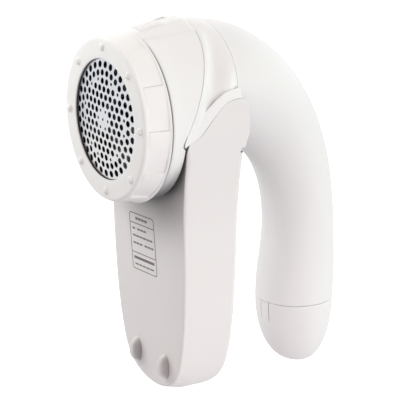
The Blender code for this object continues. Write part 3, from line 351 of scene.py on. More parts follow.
M_SHELL = plastic("shell_white", (0.894, 0.906, 0.916), 0.34, grain=0.35, sss=0.04)
M_HANDLE = plastic("handle_white", (0.852, 0.849, 0.862), 0.36, grain=0.4, sss=0.04)
# box and barrel carry painted shade in their closed-in places, as under the barrel where the box's front meets it
M_BOX = plastic("box_white", (0.826, 0.810, 0.818), 0.38, grain=0.4, sss=0.04, painted_nook_shade=(0.035, 0.56, 0.94))
M_BARREL = plastic("barrel_white", (0.905, 0.918, 0.928), 0.34, grain=0.35, sss=0.04, painted_nook_shade=(0.06, 0.60, 0.93))
M_RING = plastic("ring_white", (0.918, 0.918, 0.922), 0.36, grain=0.35, sss=0.04)
M_KNOB = plastic("knob_white", (0.85, 0.85, 0.865), 0.40, grain=0.6, sss=0.04)
M_INNER = plastic("inner_grey", (0.70, 0.70, 0.72), 0.5, grain=0.8)
M_BLACK = plastic("inner_black", (0.03, 0.03, 0.033), 0.45, grain=0.8)
M_FOIL = metal("foil_steel", (0.93, 0.935, 0.945), 0.20, brushed=(1.0, 1.0, 9.0), scale=180.0, depth=0.15)
# painted reflection and painted shade on the foil: its colour is tinted cooler towards the top, warmer lower down, and
# darkened towards its left edge, as if it mirrored a cool, brighter side at its upper right
ft_ = M_FOIL.node_tree
fb_ = ft_.nodes["Principled BSDF"]
base_link = fb_.inputs["Base Color"].links[0].from_socket
tcf = ft_.nodes.new("ShaderNodeTexCoord")
sepf = ft_.nodes.new("ShaderNodeSeparateXYZ")
ft_.links.new(tcf.outputs["Object"], sepf.inputs[0])
# painted shade: the foil's colour darkens towards its left edge
left_shade_mask = node(ft_, "ShaderNodeMapRange", From_Min=-0.026, From_Max=-0.008, To_Min=0.0, To_Max=1.0)
left_shade_mask.interpolation_type = 'SMOOTHSTEP'
ft_.links.new(sepf.outputs["X"], left_shade_mask.inputs["Value"])
# painted reflection: the foil's colour is tinted cooler higher up, warmer lower down
reflection_height_mask = node(ft_, "ShaderNodeMapRange", From_Min=O.z - 0.012, From_Max=O.z + 0.014, To_Min=0.0, To_Max=1.0)
ft_.links.new(sepf.outputs["Z"], reflection_height_mask.inputs["Value"])
painted_reflection_tint = ft_.nodes.new("ShaderNodeMix")
painted_reflection_tint.data_type = 'RGBA'
painted_reflection_tint.inputs["A"].default_value = (0.985, 0.965, 0.94, 1)
painted_reflection_tint.inputs["B"].default_value = (0.925, 0.93, 0.95, 1)
ft_.links.new(reflection_height_mask.outputs["Result"], painted_reflection_tint.inputs["Factor"])
painted_left_shade = ft_.nodes.new("ShaderNodeMix")
painted_left_shade.data_type = 'RGBA'
painted_left_shade.inputs["A"].default_value = (0.66, 0.67, 0.70, 1)
ft_.links.new(left_shade_mask.outputs["Result"], painted_left_shade.inputs["Factor"])
ft_.links.new(painted_reflection_tint.outputs["Result"], painted_left_shade.inputs["B"])
foil_painted_light = ft_.nodes.new("ShaderNodeMix")
foil_painted_light.data_type = 'RGBA'
foil_painted_light.blend_type = 'MULTIPLY'
foil_painted_light.inputs["Factor"].default_value = 1.0
ft_.links.new(base_link, foil_painted_light.inputs["A"])
ft_.links.new(painted_left_shade.outputs["Result"], foil_painted_light.inputs["B"])
ft_.links.new(foil_painted_light.outputs["Result"], fb_.inputs["Base Color"])
M_BLADE = metal("blade_steel", (0.50, 0.505, 0.52), 0.26, brushed=(8.0, 1.0, 8.0), scale=900.0)
M_SPRING = metal("spring_steel", (0.62, 0.62, 0.63), 0.25, scale=1500.0)
M_MOTOR = metal("motor_steel", (0.66, 0.67, 0.69), 0.3, brushed=(1.0, 12.0, 1.0), scale=240.0)
M_BRASS = metal("contact_brass", (0.78, 0.62, 0.30), 0.28, brushed=(6.0, 1.0, 1.0), scale=500.0)
M_CELL = plastic("cell_sleeve", (0.10, 0.17, 0.33), 0.28, grain=0.2, tint=(0.9, 0.95, 1.0), coat=0.5)
M_RED = plastic("wire_red", (0.45, 0.03, 0.025), 0.45, grain=0.4, tint=(0.8, 0.9, 0.9))
M_BLACKWIRE = plastic("wire_black", (0.02, 0.02, 0.022), 0.45, grain=0.4)
M_FEET = plastic("foot_grey", (0.78, 0.765, 0.77), 0.24, grain=0.3, sss=0.03, coat=0.5)
# painted shade: the soft feet's colour darkens on the side that turns to the right (normals towards +X)
fn = M_FEET.node_tree
fd = fn.nodes["Principled BSDF"]
fgeo = fn.nodes.new("ShaderNodeNewGeometry")
fsep = fn.nodes.new("ShaderNodeSeparateXYZ")
fn.links.new(fgeo.outputs["Normal"], fsep.inputs[0])
feet_shade_mask = node(fn, "ShaderNodeMapRange", From_Min=0.30, From_Max=1.0, To_Min=0.0, To_Max=1.0)
feet_shade_mask.interpolation_type = 'SMOOTHSTEP'
fn.links.new(fsep.outputs["X"], feet_shade_mask.inputs["Value"])
feet_painted_shade = fn.nodes.new("ShaderNodeMix")
feet_painted_shade.data_type = 'RGBA'
feet_painted_shade.inputs["B"].default_value = (0.34, 0.315, 0.32, 1)
fn.links.new(fd.inputs["Base Color"].links[0].from_socket, feet_painted_shade.inputs["A"])
fn.links.new(feet_shade_mask.outputs["Result"], feet_painted_shade.inputs["Factor"])
fn.links.new(feet_painted_shade.outputs["Result"], fd.inputs["Base Color"])
M_INK = plastic("label_ink", (0.20, 0.17, 0.18), 0.6, grain=0.2)

CAD_MATERIALS = {
    "foil_frame": M_BLACK, "foil_clamp_ring": M_BLACK, "cutter_hub": M_BLACK, "cutter_blade_1": M_BLADE, "cutter_blade_2": M_BLADE,
    "cutter_blade_3": M_BLADE, "cutter_spring": M_SPRING, "drive_spindle": M_BLACK, "suction_fan": M_INNER,
    "switch_body": M_BLACK, "chamber_shell": M_SHELL, "motor_bulkhead": M_INNER, "motor_can": M_MOTOR,
    "motor_end_bell": M_BLACK, "motor_shaft": M_MOTOR, "motor_screw_1": M_SPRING, "motor_screw_2": M_SPRING,
    "motor_terminal_a": M_BRASS, "motor_terminal_b": M_BRASS, "handle_screw_1": M_SPRING,
    "handle_screw_2": M_SPRING, "handle_screw_3": M_SPRING, "battery_cell_1": M_CELL, "battery_cell_2": M_CELL,
    "contact_block": M_INNER, "contact_plate": M_BRASS, "contact_spring": M_SPRING, "cap_bridge_plate": M_BRASS,
    "cap_spring_1": M_SPRING, "cap_spring_2": M_SPRING, "wire_battery_motor": M_BLACKWIRE,
    "wire_battery_switch": M_RED, "wire_switch_motor": M_RED, "guard_ring": M_RING, "foil_screen": M_FOIL,
    "head_barrel": M_SHELL, "neck_shell": M_SHELL, "handle_left": M_HANDLE, "handle_right": M_HANDLE,
    "battery_cap": M_HANDLE, "neck_cheek_right": M_SHELL, "neck_cheek_left": M_SHELL, "lint_box": M_BOX, "power_switch_knob": M_KNOB}
for n, ob in NODES.items():
    ob.data.materials.clear()
    ob.data.materials.append(CAD_MATERIALS[n])


# ---- guard ring --------------------------------------------------------------------------------
GRIP_Y0, GRIP_Y1 = 1.9, 10.75


def guard_fine(a):
    u = ((BUMP_PHASE + 360.0 - a) % 30.0) / 30.0      # 0 just under a grip line, 1 just above the next
    d = 0.66 * smooth(u) ** 1.2 + (0.34 if u > 0.985 else 0.0)
    pts = [(0.05, RING_OPEN_R + 0.05), (0.0, RING_OPEN_R + 0.25), (0.0, 27.5), (0.0, 29.0), (0.0, 31.0), (0.0, 33.0)]
    pts += arc_pts(1.3, 33.7, 1.3, 8, 84, 6)
    pts += [(GRIP_Y0 - 0.25, RING_R + 0.03), (GRIP_Y0, RING_R + 0.07)]

    def side(y):
        return RING_R + (RING_REAR_R - RING_R - 0.25) * (y / RING_DEPTH)
    pts += [(GRIP_Y0 + 0.25, side(GRIP_Y0 + 0.25) - d)]
    pts += [(y, side(y) - d) for y in steps(GRIP_Y0 + 0.8, GRIP_Y1 - 0.1, 5)]
    pts += [(GRIP_Y1, side(GRIP_Y1) - d), (GRIP_Y1 + 0.04, side(GRIP_Y1) + 0.05), (GRIP_Y1 + 0.25, side(GRIP_Y1) + 0.14)]
    pts += [(RING_DEPTH - 0.5, 36.92), (RING_DEPTH - 0.2, 36.90), (RING_DEPTH - 0.03, 36.72), (RING_DEPTH, 36.4)]
    pts += [(RING_DEPTH, 34.4), (RING_DEPTH - 0.2, 34.2), (2.2, RING_INNER_R), (1.7, RING_INNER_R - 0.4), (1.7, 29.4),
            (1.5, 29.0), (0.75, 28.9), (0.62, 28.7), (0.62, RING_OPEN_R + 0.12), (0.4, RING_OPEN_R)]
    return pts


ga = []
for k in range(12):
    base = BUMP_PHASE + 30.0 * k
    ga += [base + d for d in (-0.18, 0.02, 0.22, 0.8, 2.0, 4.0, 6.5, 9.5, 12.5, 15.5, 18.5, 21.5, 24.5, 27.5)]
ring = piece("guard_ring_skin", swirl(sorted(a % 360 for a in ga), guard_fine), M_RING, "guard", ("guard_ring",), angle=32)

bumps = []
for k in range(BUMP_COUNT):
    a = radians(BUMP_PHASE + 45.0 * k)
    prof = [(0.12, 1.75), (0.0, 1.75), (-0.06, 1.62)] + [(-1.0 * sqrt(max(1 - (r / 1.6) ** 2, 0.0)) ** 0.9 - 0.06, r) for r in steps(1.52, 0.0, 10)]
    bumps.append(aim(spun(prof + [], 24), (BUMP_PCR * cos(a), 0.03, BUMP_PCR * sin(a)), (0, 1, 0)))
piece("guard_ring_bumps", merge(bumps), M_RING, "guard", (), angle=80)


# ---- foil ------------------------------------------------------------------------------------------
def foil_y(d):
    return FOIL_Y0 + FOIL_SAG * (min(d, FOIL_R) / FOIL_R) ** 2


def foil_holes():
    """Round holes (x, z, r): one in the centre and six round it, a hexagonal field with small holes
    at its corners, and two staggered rings of 32."""
    out = [(0.0, 0.0, 0.62)]
    out += [(4.17 * cos(radians(60 * k)), 4.17 * sin(radians(60 * k)), 0.66) for k in range(6)]
    p = 3.75
    for q in range(-9, 10):
        for r in range(-6, 7):
            x, z = p * (q + r / 2), p * r * sqrt(3) / 2
            d = sqrt(x * x + z * z)
            if 5.0 < d < 16.7:
                out.append((x, z, 1.34))
            elif 16.7 < d < 17.4:
                out.append((x, z, 0.72))
    for ring_r, hr, a0 in ((19.87, 1.36, 7.3), (23.3, 1.48, 1.7)):
        out += [(ring_r * cos(radians(a0 + 11.25 * k)), ring_r * sin(radians(a0 + 11.25 * k)), hr) for k in range(32)]
    return out


def perforated(segs):
    bm = bmesh.new()
    edges = []

    def loop2d(pts):
        vs = [bm.verts.new((x, 0.0, z)) for x, z in pts]
        edges.extend(bm.edges.new((a, b)) for a, b in zip(vs, vs[1:] + vs[:1]))
    loop2d([(FOIL_R * cos(2 * pi * k / 144), FOIL_R * sin(2 * pi * k / 144)) for k in range(144)])
    for hx, hz, hr in foil_holes():
        loop2d([(hx + hr * cos(2 * pi * (k + .5) / segs), hz + hr * sin(2 * pi * (k + .5) / segs)) for k in range(segs)])
    bmesh.ops.triangle_fill(bm, use_beauty=True, use_dissolve=False, edges=edges)
    rim = [e for e in bm.edges if e.is_boundary and all(v.co.length > FOIL_R - 0.01 for v in e.verts)]
    ext = bmesh.ops.extrude_edge_only(bm, edges=rim)
    for g in ext["geom"]:
        if isinstance(g, bmesh.types.BMVert):
            g.co *= FOIL_RIM_R / FOIL_R
    for v in bm.verts:
        v.co.y = foil_y(v.co.length)
    bmesh.ops.recalc_face_normals(bm, faces=list(bm.faces))
    geo = bmesh.ops.extrude_face_region(bm, geom=list(bm.faces) + list(bm.edges) + list(bm.verts))
    for g in geo["geom"]:
        if isinstance(g, bmesh.types.BMVert):
            g.co.y += 0.18
    return bm


foil = piece("foil_screen_fine", perforated(18), M_FOIL, "foil_carrier", ("foil_screen",), angle=30)
me = foil.data
normals = []
for poly in me.polygons:
    flat = abs(poly.normal.y) > 0.8
    for li in poly.loop_indices:
        if flat:
            co = (me.vertices[me.loops[li].vertex_index].co - O) / MM
            d = sqrt(co.x ** 2 + co.z ** 2)
            k = 2 * FOIL_SAG / FOIL_R ** 2 if d < FOIL_R + 0.05 else 0.0
            n = Vector((k * co.x, -1.0, k * co.z)).normalized()
            normals.append(n if poly.normal.y < 0 else -n)
        else:
            normals.append(poly.normal.copy())
me.normals_split_custom_set(normals)
# the foil's edge beyond 25 mm from the centre takes a second, black material, and a thin black ring sits at the guard's
# opening in front of it
me.materials.append(M_BLACK)
for poly in me.polygons:
    c = (poly.center - O) / MM
    if sqrt(c.x ** 2 + c.z ** 2) > 25.0 and all(((me.vertices[v].co - O) / MM).xz.length > 24.9 for v in poly.vertices):
        poly.material_index = 1
piece("foil_frame_lip", spun([(0.66, 26.35), (0.66, 26.02), (0.8, 25.95), (1.08, 25.6), (1.12, 25.75), (1.12, 26.35), (0.66, 26.35)], 96),
      M_BLACK, "foil_carrier", (), angle=30)


# ---- barrel, neck -----------------------------------------------------------------------------------
def barrel_r(y):
    x = y - 17.0
    return BARREL_R + (0.0 if x < 0 else BARREL_SLOPE * (x - 1.2 * (1 - math.exp(-x / 1.2))))


def seam_a(deg):
    s = sin(radians(deg))
    y = 25.0
    for _ in range(20):
        y = SEAM_A_Y + SEAM_A_K * s * barrel_r(y)
    return max(y, BARREL_LOW_Y) if s > -0.2 else BARREL_LOW_Y + BARREL_FOOT * smooth((-s - 0.172) / 0.03)


def barrel_fine(a):
    ya = seam_a(a) - 0.03
    ym = 17.0
    notch = (a % 120.0) > 24.0 and (a % 120.0) < 53.0
    lip = 33.6 if notch else 32.9
    pts = arc_pts(BARREL_Y0 + 0.9, BARREL_R - 0.9, 0.9, 10, 90, 5)
    pts += [(y, barrel_r(y)) for y in steps(14.5, ya - 0.35, 9)]
    pts += [(ya - 0.08, barrel_r(ya) - 0.03), (ya, barrel_r(ya) - 0.16), (ya, barrel_r(ya) - WALL)]
    pts += [((ym + ya) / 2, barrel_r((ym + ya) / 2) - WALL), (min(ym, ya - 0.2), 33.6), (14.7, 33.6), (14.6, lip), (BARREL_Y0 + 0.3, lip)]
    return pts


SLOT = (-3.2, 3.2, 17.6, 28.2)
ba = sorted(set([k * 2.5 for k in range(144)] + [120.0 * k + d for k in range(3) for d in (24.05, 24.3, 52.7, 52.95)]))
barrel = piece("head_barrel_skin", swirl(ba, barrel_fine), M_BARREL, "housing", ("head_barrel",), angle=32)


def rim_point(t):
    y = spline(RIM_KEYS[:7] + [(46.6, 11.9)], t)[0]
    return y, table(RIM_TAB, y)


def neck_point(u, t, w=0.0):
    au = radians(90.0 - min(u, 1.0) * 92.0)
    ya = seam_a(degrees(au)) + 0.05
    ra = barrel_r(ya)
    pa = Vector((ra * cos(au), ya, ra * sin(au)))
    cu = radians(90.0 - min(u, 1.0) * 85.0)
    pc = Vector((30.3 * cos(cu), 46.75, 14.05 + 24.55 * sin(cu)))
    p = pa.lerp(pc, t)
    side = smooth((min(u, 1.0) - 0.08) / 0.6)
    dip = 3.0 * side * (1 - 0.5 * smooth((min(u, 1.0) - 0.62) / 0.38)) * (smooth((t - 0.10) / 0.32) * (1 - smooth((t - 0.45) / 0.55)))
    bulge = 1.0 * (1 - side) * sin(pi * t)
    n = Vector((p.x, 0.0, p.z - 8.0 * t)).normalized()
    p = p + n * (bulge - dip)
    strip_x = 35.6 - 1.1 * smooth(t / 0.5) - 2.0 * smooth((t - 0.62) / 0.38)
    root = radians(-2.0)
    swell = max(strip_x - (barrel_r(seam_a(-2.0)) * cos(root) * (1 - t) + 30.2 * t) + 1.4 * (1 - t) * smooth(t / 0.3), 0.0)
    swell *= 0.8 * smooth((min(u, 1.0) - 0.66) / 0.34) * smooth(t / 0.08) * (1 - smooth((t - 0.80) / 0.20))
    p.x += swell
    if u > 1.0:
        by, bz = spline(BAND_KEYS, t)
        ry, rz = rim_point(t)
        up = Vector((strip_x, by, bz))
        lo = Vector((35.75 - 0.15 * smooth(t / 0.5) - 0.8 * smooth((t - 0.62) / 0.38), ry, rz + 0.03))
        v = (u - 1.0) / 0.5
        if v < 0.4:
            q = v / 0.4
            p = p.lerp(up, 0.5 * q + 0.5 * smooth(q))
        else:
            p = up.lerp(lo, (v - 0.4) / 0.6)
        n = Vector((1.0, 0.0, 0.35 * (1 - v)))
        n.normalize()
    return p - n * w


us = steps(0.0, 0.92, 30) + [0.96, 1.0] + [1.0 + 0.2 * k / 8 for k in range(1, 9)] + [1.2 + 0.3 * k / 8 for k in range(1, 9)]
ts = [0.0, 0.008, 0.03] + steps(0.06, 0.97, 34) + [0.992, 1.0]


def neck_grid(w):
    g = []
    for t in ts:
        half = []
        for u in us:
            p = neck_point(u, t, w)
            if not w and t in (0.0, 1.0):
                p = p + (neck_point(u, t, 0.16) - p)
            half.append(p)
        g.append([Vector((-p.x, p.y, p.z)) for p in reversed(half[1:])] + half)
    return g


neck = piece("neck_shell_skin", thick(neck_grid(0.0), neck_grid(WALL)), M_SHELL, "housing", ("neck_shell",), angle=40)


# ---- handle ------------------------------------------------------------------------------------------
def handle_point(row, f, w=0.0):
    oy, oz, iy, iz, a, eu, el = row
    cy, cz = (oy + iy) / 2, (oz + iz) / 2
    dy, dz = (oy - iy) / 2, (oz - iz) / 2
    h = sqrt(dy * dy + dz * dz)
    k = (h - w) / h
    s = sin(f)
    e = eu if s >= 0 else el
    g = abs(s) ** (2 * e) * (1 if s >= 0 else -1) * k
    return ((a - w) * cos(f), cy + dy * g, cz + dz * g)


SPLIT = 0.03
HFS = [radians(-90 + 180 * k / 44) for k in range(45)]


def handle_half(sign, w):
    g = []
    n = 90
    for i in range(n + 1):
        r = spline(HANDLE_KEYS, i / n)
        ww = w
        if i == 0:
            r[0] = r[2] = SEAM_C_Y - 0.05
            ww = w if w else 0.16
        if i == n and not w:
            ww = 0.22
            r[1] = r[3] = CAP_Z + 0.02
        if w and i > n - 6:
            ww = 1.6 + 1.25 * smooth((i - n + 6) / 4)
        g.append([handle_point(r, f, ww) for f in HFS])
        if i == 0 and not w:
            r2 = spline(HANDLE_KEYS, 0.0)
            r2[0] = r2[2] = SEAM_C_Y + 0.2
            g.append([handle_point(r2, f, 0.0) for f in HFS])
        if i == 0 and w:
            r2 = spline(HANDLE_KEYS, 0.0)
            r2[0] = r2[2] = SEAM_C_Y + 0.2
            g.append([handle_point(r2, f, w) for f in HFS])
        if i == n - 1:
            r2 = spline(HANDLE_KEYS, 1.0)
            r2[1] = r2[3] = CAP_Z + 0.25
            g.append([handle_point(r2, f, 2.85 if w else 0.0) for f in HFS])
    last = spline(HANDLE_KEYS, 1.0)
    for z in (CAP_Z, CAP_Z - 0.8, -100.6, -101.0):
        r = list(last)
        r[1] = r[3] = z
        g.append([handle_point(r, f, 2.85 if w else (2.2 if z > -101 else 2.4)) for f in HFS])
    return [[(sign * max(x, SPLIT), y, z) for x, y, z in row] for row in g]


for name, sign in (("handle_right", 1), ("handle_left", -1)):
    piece(name + "_skin", thick(handle_half(sign, 0.0), handle_half(sign, HANDLE_WALL)), M_HANDLE, "housing", (name,), angle=40)


# ---- battery cap -----------------------------------------------------------------------------------------
def cap_point(q, deg, w=0.0):
    th = q * pi / 2
    g = cos(th) ** 0.80 if q < 1 else 0.0
    z = CAP_Z - 0.16 - (CAP_DEPTH - 0.16) * sin(th)
    if w:
        z += w * sin(th) ** 2
    cy = 99.55 + CAP_DRIFT * q ** 1.6
    r = max(17.75 * g - w, 0.0) if q < 1 else 0.0
    a = radians(deg)
    return (r * sin(a), cy - r * cos(a), z)


cap_deg = sorted([-1.0, 0.5, 15.5, 17.0] + steps(1.8, 14.2, 5) + steps(19.0, 357.0, 110))
cap_q = [0.0, 0.006] + steps(0.02, 0.185, 8) + steps(0.22, 0.94, 30) + [0.965, 0.985, 0.995, 1.0]
j0, j1 = cap_deg.index(-1.0), cap_deg.index(15.5)
SLIT_ROWS = len([q for q in cap_q if q < 0.184])


def cap_grid(w):
    g = []
    for q in cap_q:
        row = []
        for d in cap_deg:
            p = cap_point(q, d, w if w else (0.2 if q == 0.0 else 0.0))
            row.append(p)
        g.append(row)
    return g


piece("battery_cap_skin", thick(cap_grid(0.0), cap_grid(1.2), wrap=True, mask=lambda i, j: not (i < SLIT_ROWS and j in (j0, j1))),
      M_HANDLE, "cap", ("battery_cap",), angle=40)

# ---- lint box ---------------------------------------------------------------------------------------------
ARC, BOX_RF, BOX_RR, LUG_Y, LUG_Z, REAR_TOP, Z1, S1 = 34.2, 1.0, 2.4, 49.8, -9.4, -11.8, -42.0, 3.0 / 13.0
BX_Z0 = -5.0


def box_front(z):
    return 19.6 + 0.0462 * max(BX_Z0 - z, 0.0)


REAR_TAB = as_table([(-124.0, 40.0), (-121.0, 44.5), (-117.5, 47.6), (-113.0, 49.0), (-104.0, 49.5), (-92.0, 49.3), (-60.0, 48.8), (-10.0, 48.4), (12.0, 48.4)], 160)


def box_rear(z):
    return table(REAR_TAB, z)


def keel(s, y):
    return -2.5 * smooth((s - 0.55) / 0.45) * smooth((y - 24.0) / 10.0)


def outline(s):
    x, z = spline(BOX_KEYS, s)
    x1, z1 = spline(BOX_KEYS, max(s - 0.02, 0.0))
    x2, z2 = spline(BOX_KEYS, min(s + 0.02, 1.0))
    tx, tz = x2 - x1, z2 - z1
    n = sqrt(tx * tx + tz * tz)
    if s >= 1.0:
        return x, z, 0.0, -1.0
    return x, z, -tz / n, tx / n


def x_at(z):
    return table(OUT_TAB, z)


def box_row(kind, f, s, w):
    x, z, nx, nz = outline(s)
    yf, yr = box_front(z) + w, box_rear(z) - w
    rf, rr = BOX_RF - w * 0.8, BOX_RR - w * 0.7
    if kind in ("front", "rear"):
        r = (rf if kind == "front" else rr) + w
        ex, ez = max(x - r * nx, 0.0), z - r * nz
        zc = max(ez, -96.0)
        px, pz = ex * f, zc + (ez - zc) * f ** 1.6
        py = box_front(pz) + w if kind == "front" else box_rear(pz) - w
        return px, py, pz + keel(s, py) * f
    if kind == "fc":
        a = radians(90.0 * f)
        ins, py = w + rf * (1 - sin(a)), yf + rf * (1 - cos(a))
    elif kind == "rc":
        a = radians(90.0 * f)
        ins, py = w + rr * (1 - sin(a)), yr - rr * (1 - cos(a))
    else:
        ins, py = w, yf + rf + (yr - rr - yf - rf) * f
    return max(x - ins * nx, 0.0), py, z - ins * nz + keel(s, py)


KT = 24                   # fine steps of the upper part; LUG row and REAR_TOP row are fixed
K_LUG, K_REAR = 8, 10


def box_top(kind, f, k, w):
    bx, by, bz = box_row(kind, f, S1, w)
    t = k / KT
    rf, rr = BOX_RF - w * 0.8, BOX_RR - w * 0.7
    near = t ** 6
    if kind in ("front", "fc"):
        zc = -sqrt(ARC * ARC - 32.6 ** 2)
        zs = zc * (1 - t) + bz * t
        x0 = 32.6 + (x_at(zs) - w - rf - 32.6) * smooth(t * 3.0)
    if kind == "front":
        fx = 32.6 * f
        z = -sqrt(ARC * ARC - fx * fx) * (1 - t) + bz * t
        return x0 * f * (1 - near) + bx * near, box_front(z) + w, z
    if kind == "fc":
        z = (zc + (-zc - 5.2) * f) * (1 - t) + bz * t
        a = radians(90.0 * f)
        x = x_at(z) - w - rf * (1 - sin(a)) if f > 0 else x0
        return x * (1 - near) + bx * near, box_front(z) + w + rf * (1 - cos(a)), z
    if k == KT:
        return bx, by, bz
    if k > K_REAR:
        sz = REAR_TOP + (Z1 - REAR_TOP) * (k - K_REAR) / (KT - K_REAR)
    else:
        sz = LUG_Z if k == K_LUG else (LUG_Z - 0.5 if k == K_LUG + 1 else REAR_TOP)
    if kind == "side":
        y0 = box_front(min(-10.0, sz)) + w + rf
        yend = LUG_Y - 1.5 * smooth((k - K_LUG + 3) / 3.0) if k <= K_LUG else box_rear(-20.0) - w - rr
        y = y0 + (yend - y0) * f
        top = table(RIM_TAB, y)
        z = top + (LUG_Z - top) * k / K_LUG if k < K_LUG else sz
        return x_at(z) - w, y, z
    z = sz
    if kind == "rc":
        a = radians(90.0 * f)
        return x_at(z) - w - rr * (1 - sin(a)), box_rear(z) - w - rr * (1 - cos(a)), z
    return (x_at(z) - w - rr) * f, box_rear(z) - w, z


BOX_ROWS = ([("front", f) for f in steps(0.0, 0.93, 14)] + [("fc", f) for f in steps(0.0, 0.92, 7)]
            + [("side", f) for f in steps(0.0, 0.84, 14) + [0.88, 0.92, 0.95, 0.975, 0.99, 1.0]]
            + [("rc", f) for f in (0.86, 0.7, 0.5, 0.3, 0.0)] + [("rear", f) for f in (0.9, 0.75, 0.5, 0.25, 0.0)])
BOX_S = steps(S1, 1.0, 64)[1:]


def box_grid(w):
    cols = [[box_top(kind, f, k, w) for kind, f in BOX_ROWS] for k in range(KT + 1)]
    cols += [[box_row(kind, f, s, w) for kind, f in BOX_ROWS] for s in BOX_S]
    return cols + [[(-x, y, z) for x, y, z in c] for c in reversed(cols[:-1])]


FIRST_REAR = [k for k, (kind, f) in enumerate(BOX_ROWS) if kind == "rc"][0]
NCOL = 2 * (KT + 1 + len(BOX_S)) - 1
box = piece("lint_box_skin", thick(box_grid(0.0), box_grid(WALL), meets=True,
            mask=lambda i, j: not ((i < K_REAR or i >= NCOL - 1 - K_REAR) and j >= FIRST_REAR - 1)),
            M_BOX, "lint_container", ("lint_box",), angle=40)

# feet: two oval pads moulded on the box's front
feet = []
for sx in (-1, 1):
    bm = bmesh.new()
    bmesh.ops.create_uvsphere(bm, u_segments=36, v_segments=24, radius=1.0)
    for v in bm.verts:
        c = v.co
        r = sqrt(c.x * c.x + c.z * c.z)
        v.co = Vector((sx * 12.1 + c.x * 3.5, box_front(-111.7 + c.z * 5.9) + 0.3 + c.y * 4.4, -111.7 + c.z * 5.9))
    feet.append(bm)
piece("lint_box_feet", merge(feet), M_FEET, "lint_container", (), angle=60)

# rating plate outline on the front: generic frame, rules and dashes, no lettering
LX, LZ, LW, LR, LCX, LCZ, LTILT = 10.7, 12.95, 0.30, 1.6, -4.4, -59.8, radians(4.6)


def on_plate(x, z, lift):
    px = LCX + x * cos(LTILT) - z * sin(LTILT)
    pz = LCZ + x * sin(LTILT) + z * cos(LTILT)
    return px, box_front(pz) - lift, pz


def ribbon(bm, x0, z0, x1, z1, lift=0.06):
    vs = [bm.verts.new(on_plate(x, z, lift)) for x, z in ((x0, z0), (x1, z0), (x1, z1), (x0, z1))]
    back = [bm.verts.new((v.co.x, v.co.y + 0.1, v.co.z)) for v in vs]
    face(bm, vs)
    face(bm, back[::-1])
    for k in range(4):
        face(bm, [vs[k], back[k], back[(k + 1) % 4], vs[(k + 1) % 4]])


lab = bmesh.new()
n = 8
outer, inner = [], []
for cx, cz, a0 in ((LX - LR, LZ - LR, 0), (-LX + LR, LZ - LR, 90), (-LX + LR, -LZ + LR, 180), (LX - LR, -LZ + LR, 270)):
    for k in range(n + 1):
        a = radians(a0 + 90 * k / n)
        outer.append((cx + LR * cos(a), cz + LR * sin(a)))
        inner.append((cx + (LR - LW) * cos(a), cz + (LR - LW) * sin(a)))
loops = []
for pts, lift in ((outer, 0.06), (inner, 0.06), (inner, -0.05), (outer, -0.05)):
    loops.append([lab.verts.new(on_plate(x, z, lift)) for x, z in pts])
for a, b in zip(loops, loops[1:] + loops[:1]):
    for k in range(len(a)):
        face(lab, [a[k], a[(k + 1) % len(a)], b[(k + 1) % len(a)], b[k]])
for f in (0.18, 0.70):
    z = LZ - 2 * LZ * f
    ribbon(lab, -LX + 0.35, z - LW / 2, LX - 0.35, z + LW / 2)
dashes = ((0.09, 1.0, (-5.4, -3.3, -2.7, -0.7, -0.1, 1.9, 2.5, 4.6)), (0.275, 0.7, (-8.6, -6.4, -4.4, -2.2, -1.7, 0.6, 1.1, 3.2)),
          (0.40, 0.7, (-8.6, -6.2, -5.7, -3.0, -2.4, -0.6, -0.1, 2.8, 3.4, 5.6, 6.1, 8.4)),
          (0.53, 0.7, (-8.6, -6.6, -6.0, -3.6, -3.0, -0.8, 1.2, 3.6, 4.1, 6.2, 6.7, 8.8)), (0.79, 1.15, (-8.8, 8.8)),
          (0.905, 0.6, (-8.2, -5.4, -4.8, -2.4, -1.8, 0.8, 1.4, 4.2, 4.8, 8.0)))
for f, h, ends in dashes:
    z = LZ - 2 * LZ * f
    for a, b in zip(ends[::2], ends[1::2]):
        ribbon(lab, a, z - h / 2, b, z + h / 2)
piece("rating_plate_outline", lab, M_INK, "lint_container", (), angle=60, dist=1e-5)

# ---- switch rail: a ridge on the barrel's top that rises to the rear, with a bed for the knob ----------------
RAIL = [(13.0, 36.2), (13.25, 36.75), (13.7, 37.05), (14.0, 37.13), (24.0, 39.18), (32.2, 40.85), (33.6, 41.02), (34.6, 40.95),
        (35.6, 40.6), (36.5, 39.9), (37.0, 39.35), (37.35, 38.9)]


def rail_top(y):
    return table(RAIL, y)


def bed(y):
    return 35.75 + 0.165 * (y - 17.0)


def skin_z(x, y, drop=0.0):
    r = barrel_r(y) - drop
    return sqrt(max(r * r - x * x, 1.0))


def rail_z(x, y):
    return rail_top(y) - 0.012 * x * x


BED_DEPTH, BED_Y0, BED_Y1, BED_X = 0.65, 14.58, 30.78, 4.88
RX = [0.0, 2.0, 4.0, 4.86, 4.9, 5.1, 5.4, 5.8, 6.2, 6.7, 7.3, 7.9, 8.6, 9.3, 10.1, 11.0, 12.0]
RY = [13.0, 13.1, 13.25, 13.45, 13.7, 14.0, 14.3, 14.56, 14.6] + steps(15.5, 30.0, 16) + [30.76, 30.8, 31.2] + steps(31.8, 37.35, 16)
rail_o, rail_i = [], []
for y in RY:
    half_o, half_i = [], []
    reach = 8.2 + 2.6 * smooth((y - 14.0) / 14.0) + 1.2 * smooth((y - 30.0) / 7.0)
    for x in RX:
        base = skin_z(x, y, 0.06)
        z = rail_z(x, y)
        if x < BED_X and BED_Y0 < y < BED_Y1:
            z -= BED_DEPTH
        elif x > 4.9:
            z = max(z + (base - z) * smooth((x - 4.9) / (reach - 4.9)), base)
        half_o.append((x, y, z))
        half_i.append((x, y, skin_z(x, y, 0.9)))
    rail_o.append([(-x, p, q) for x, p, q in reversed(half_o[1:])] + half_o)
    rail_i.append([(-x, p, q) for x, p, q in reversed(half_i[1:])] + half_i)
piece("head_barrel_rail", thick(rail_o, rail_i), M_SHELL, "housing", (), angle=42)

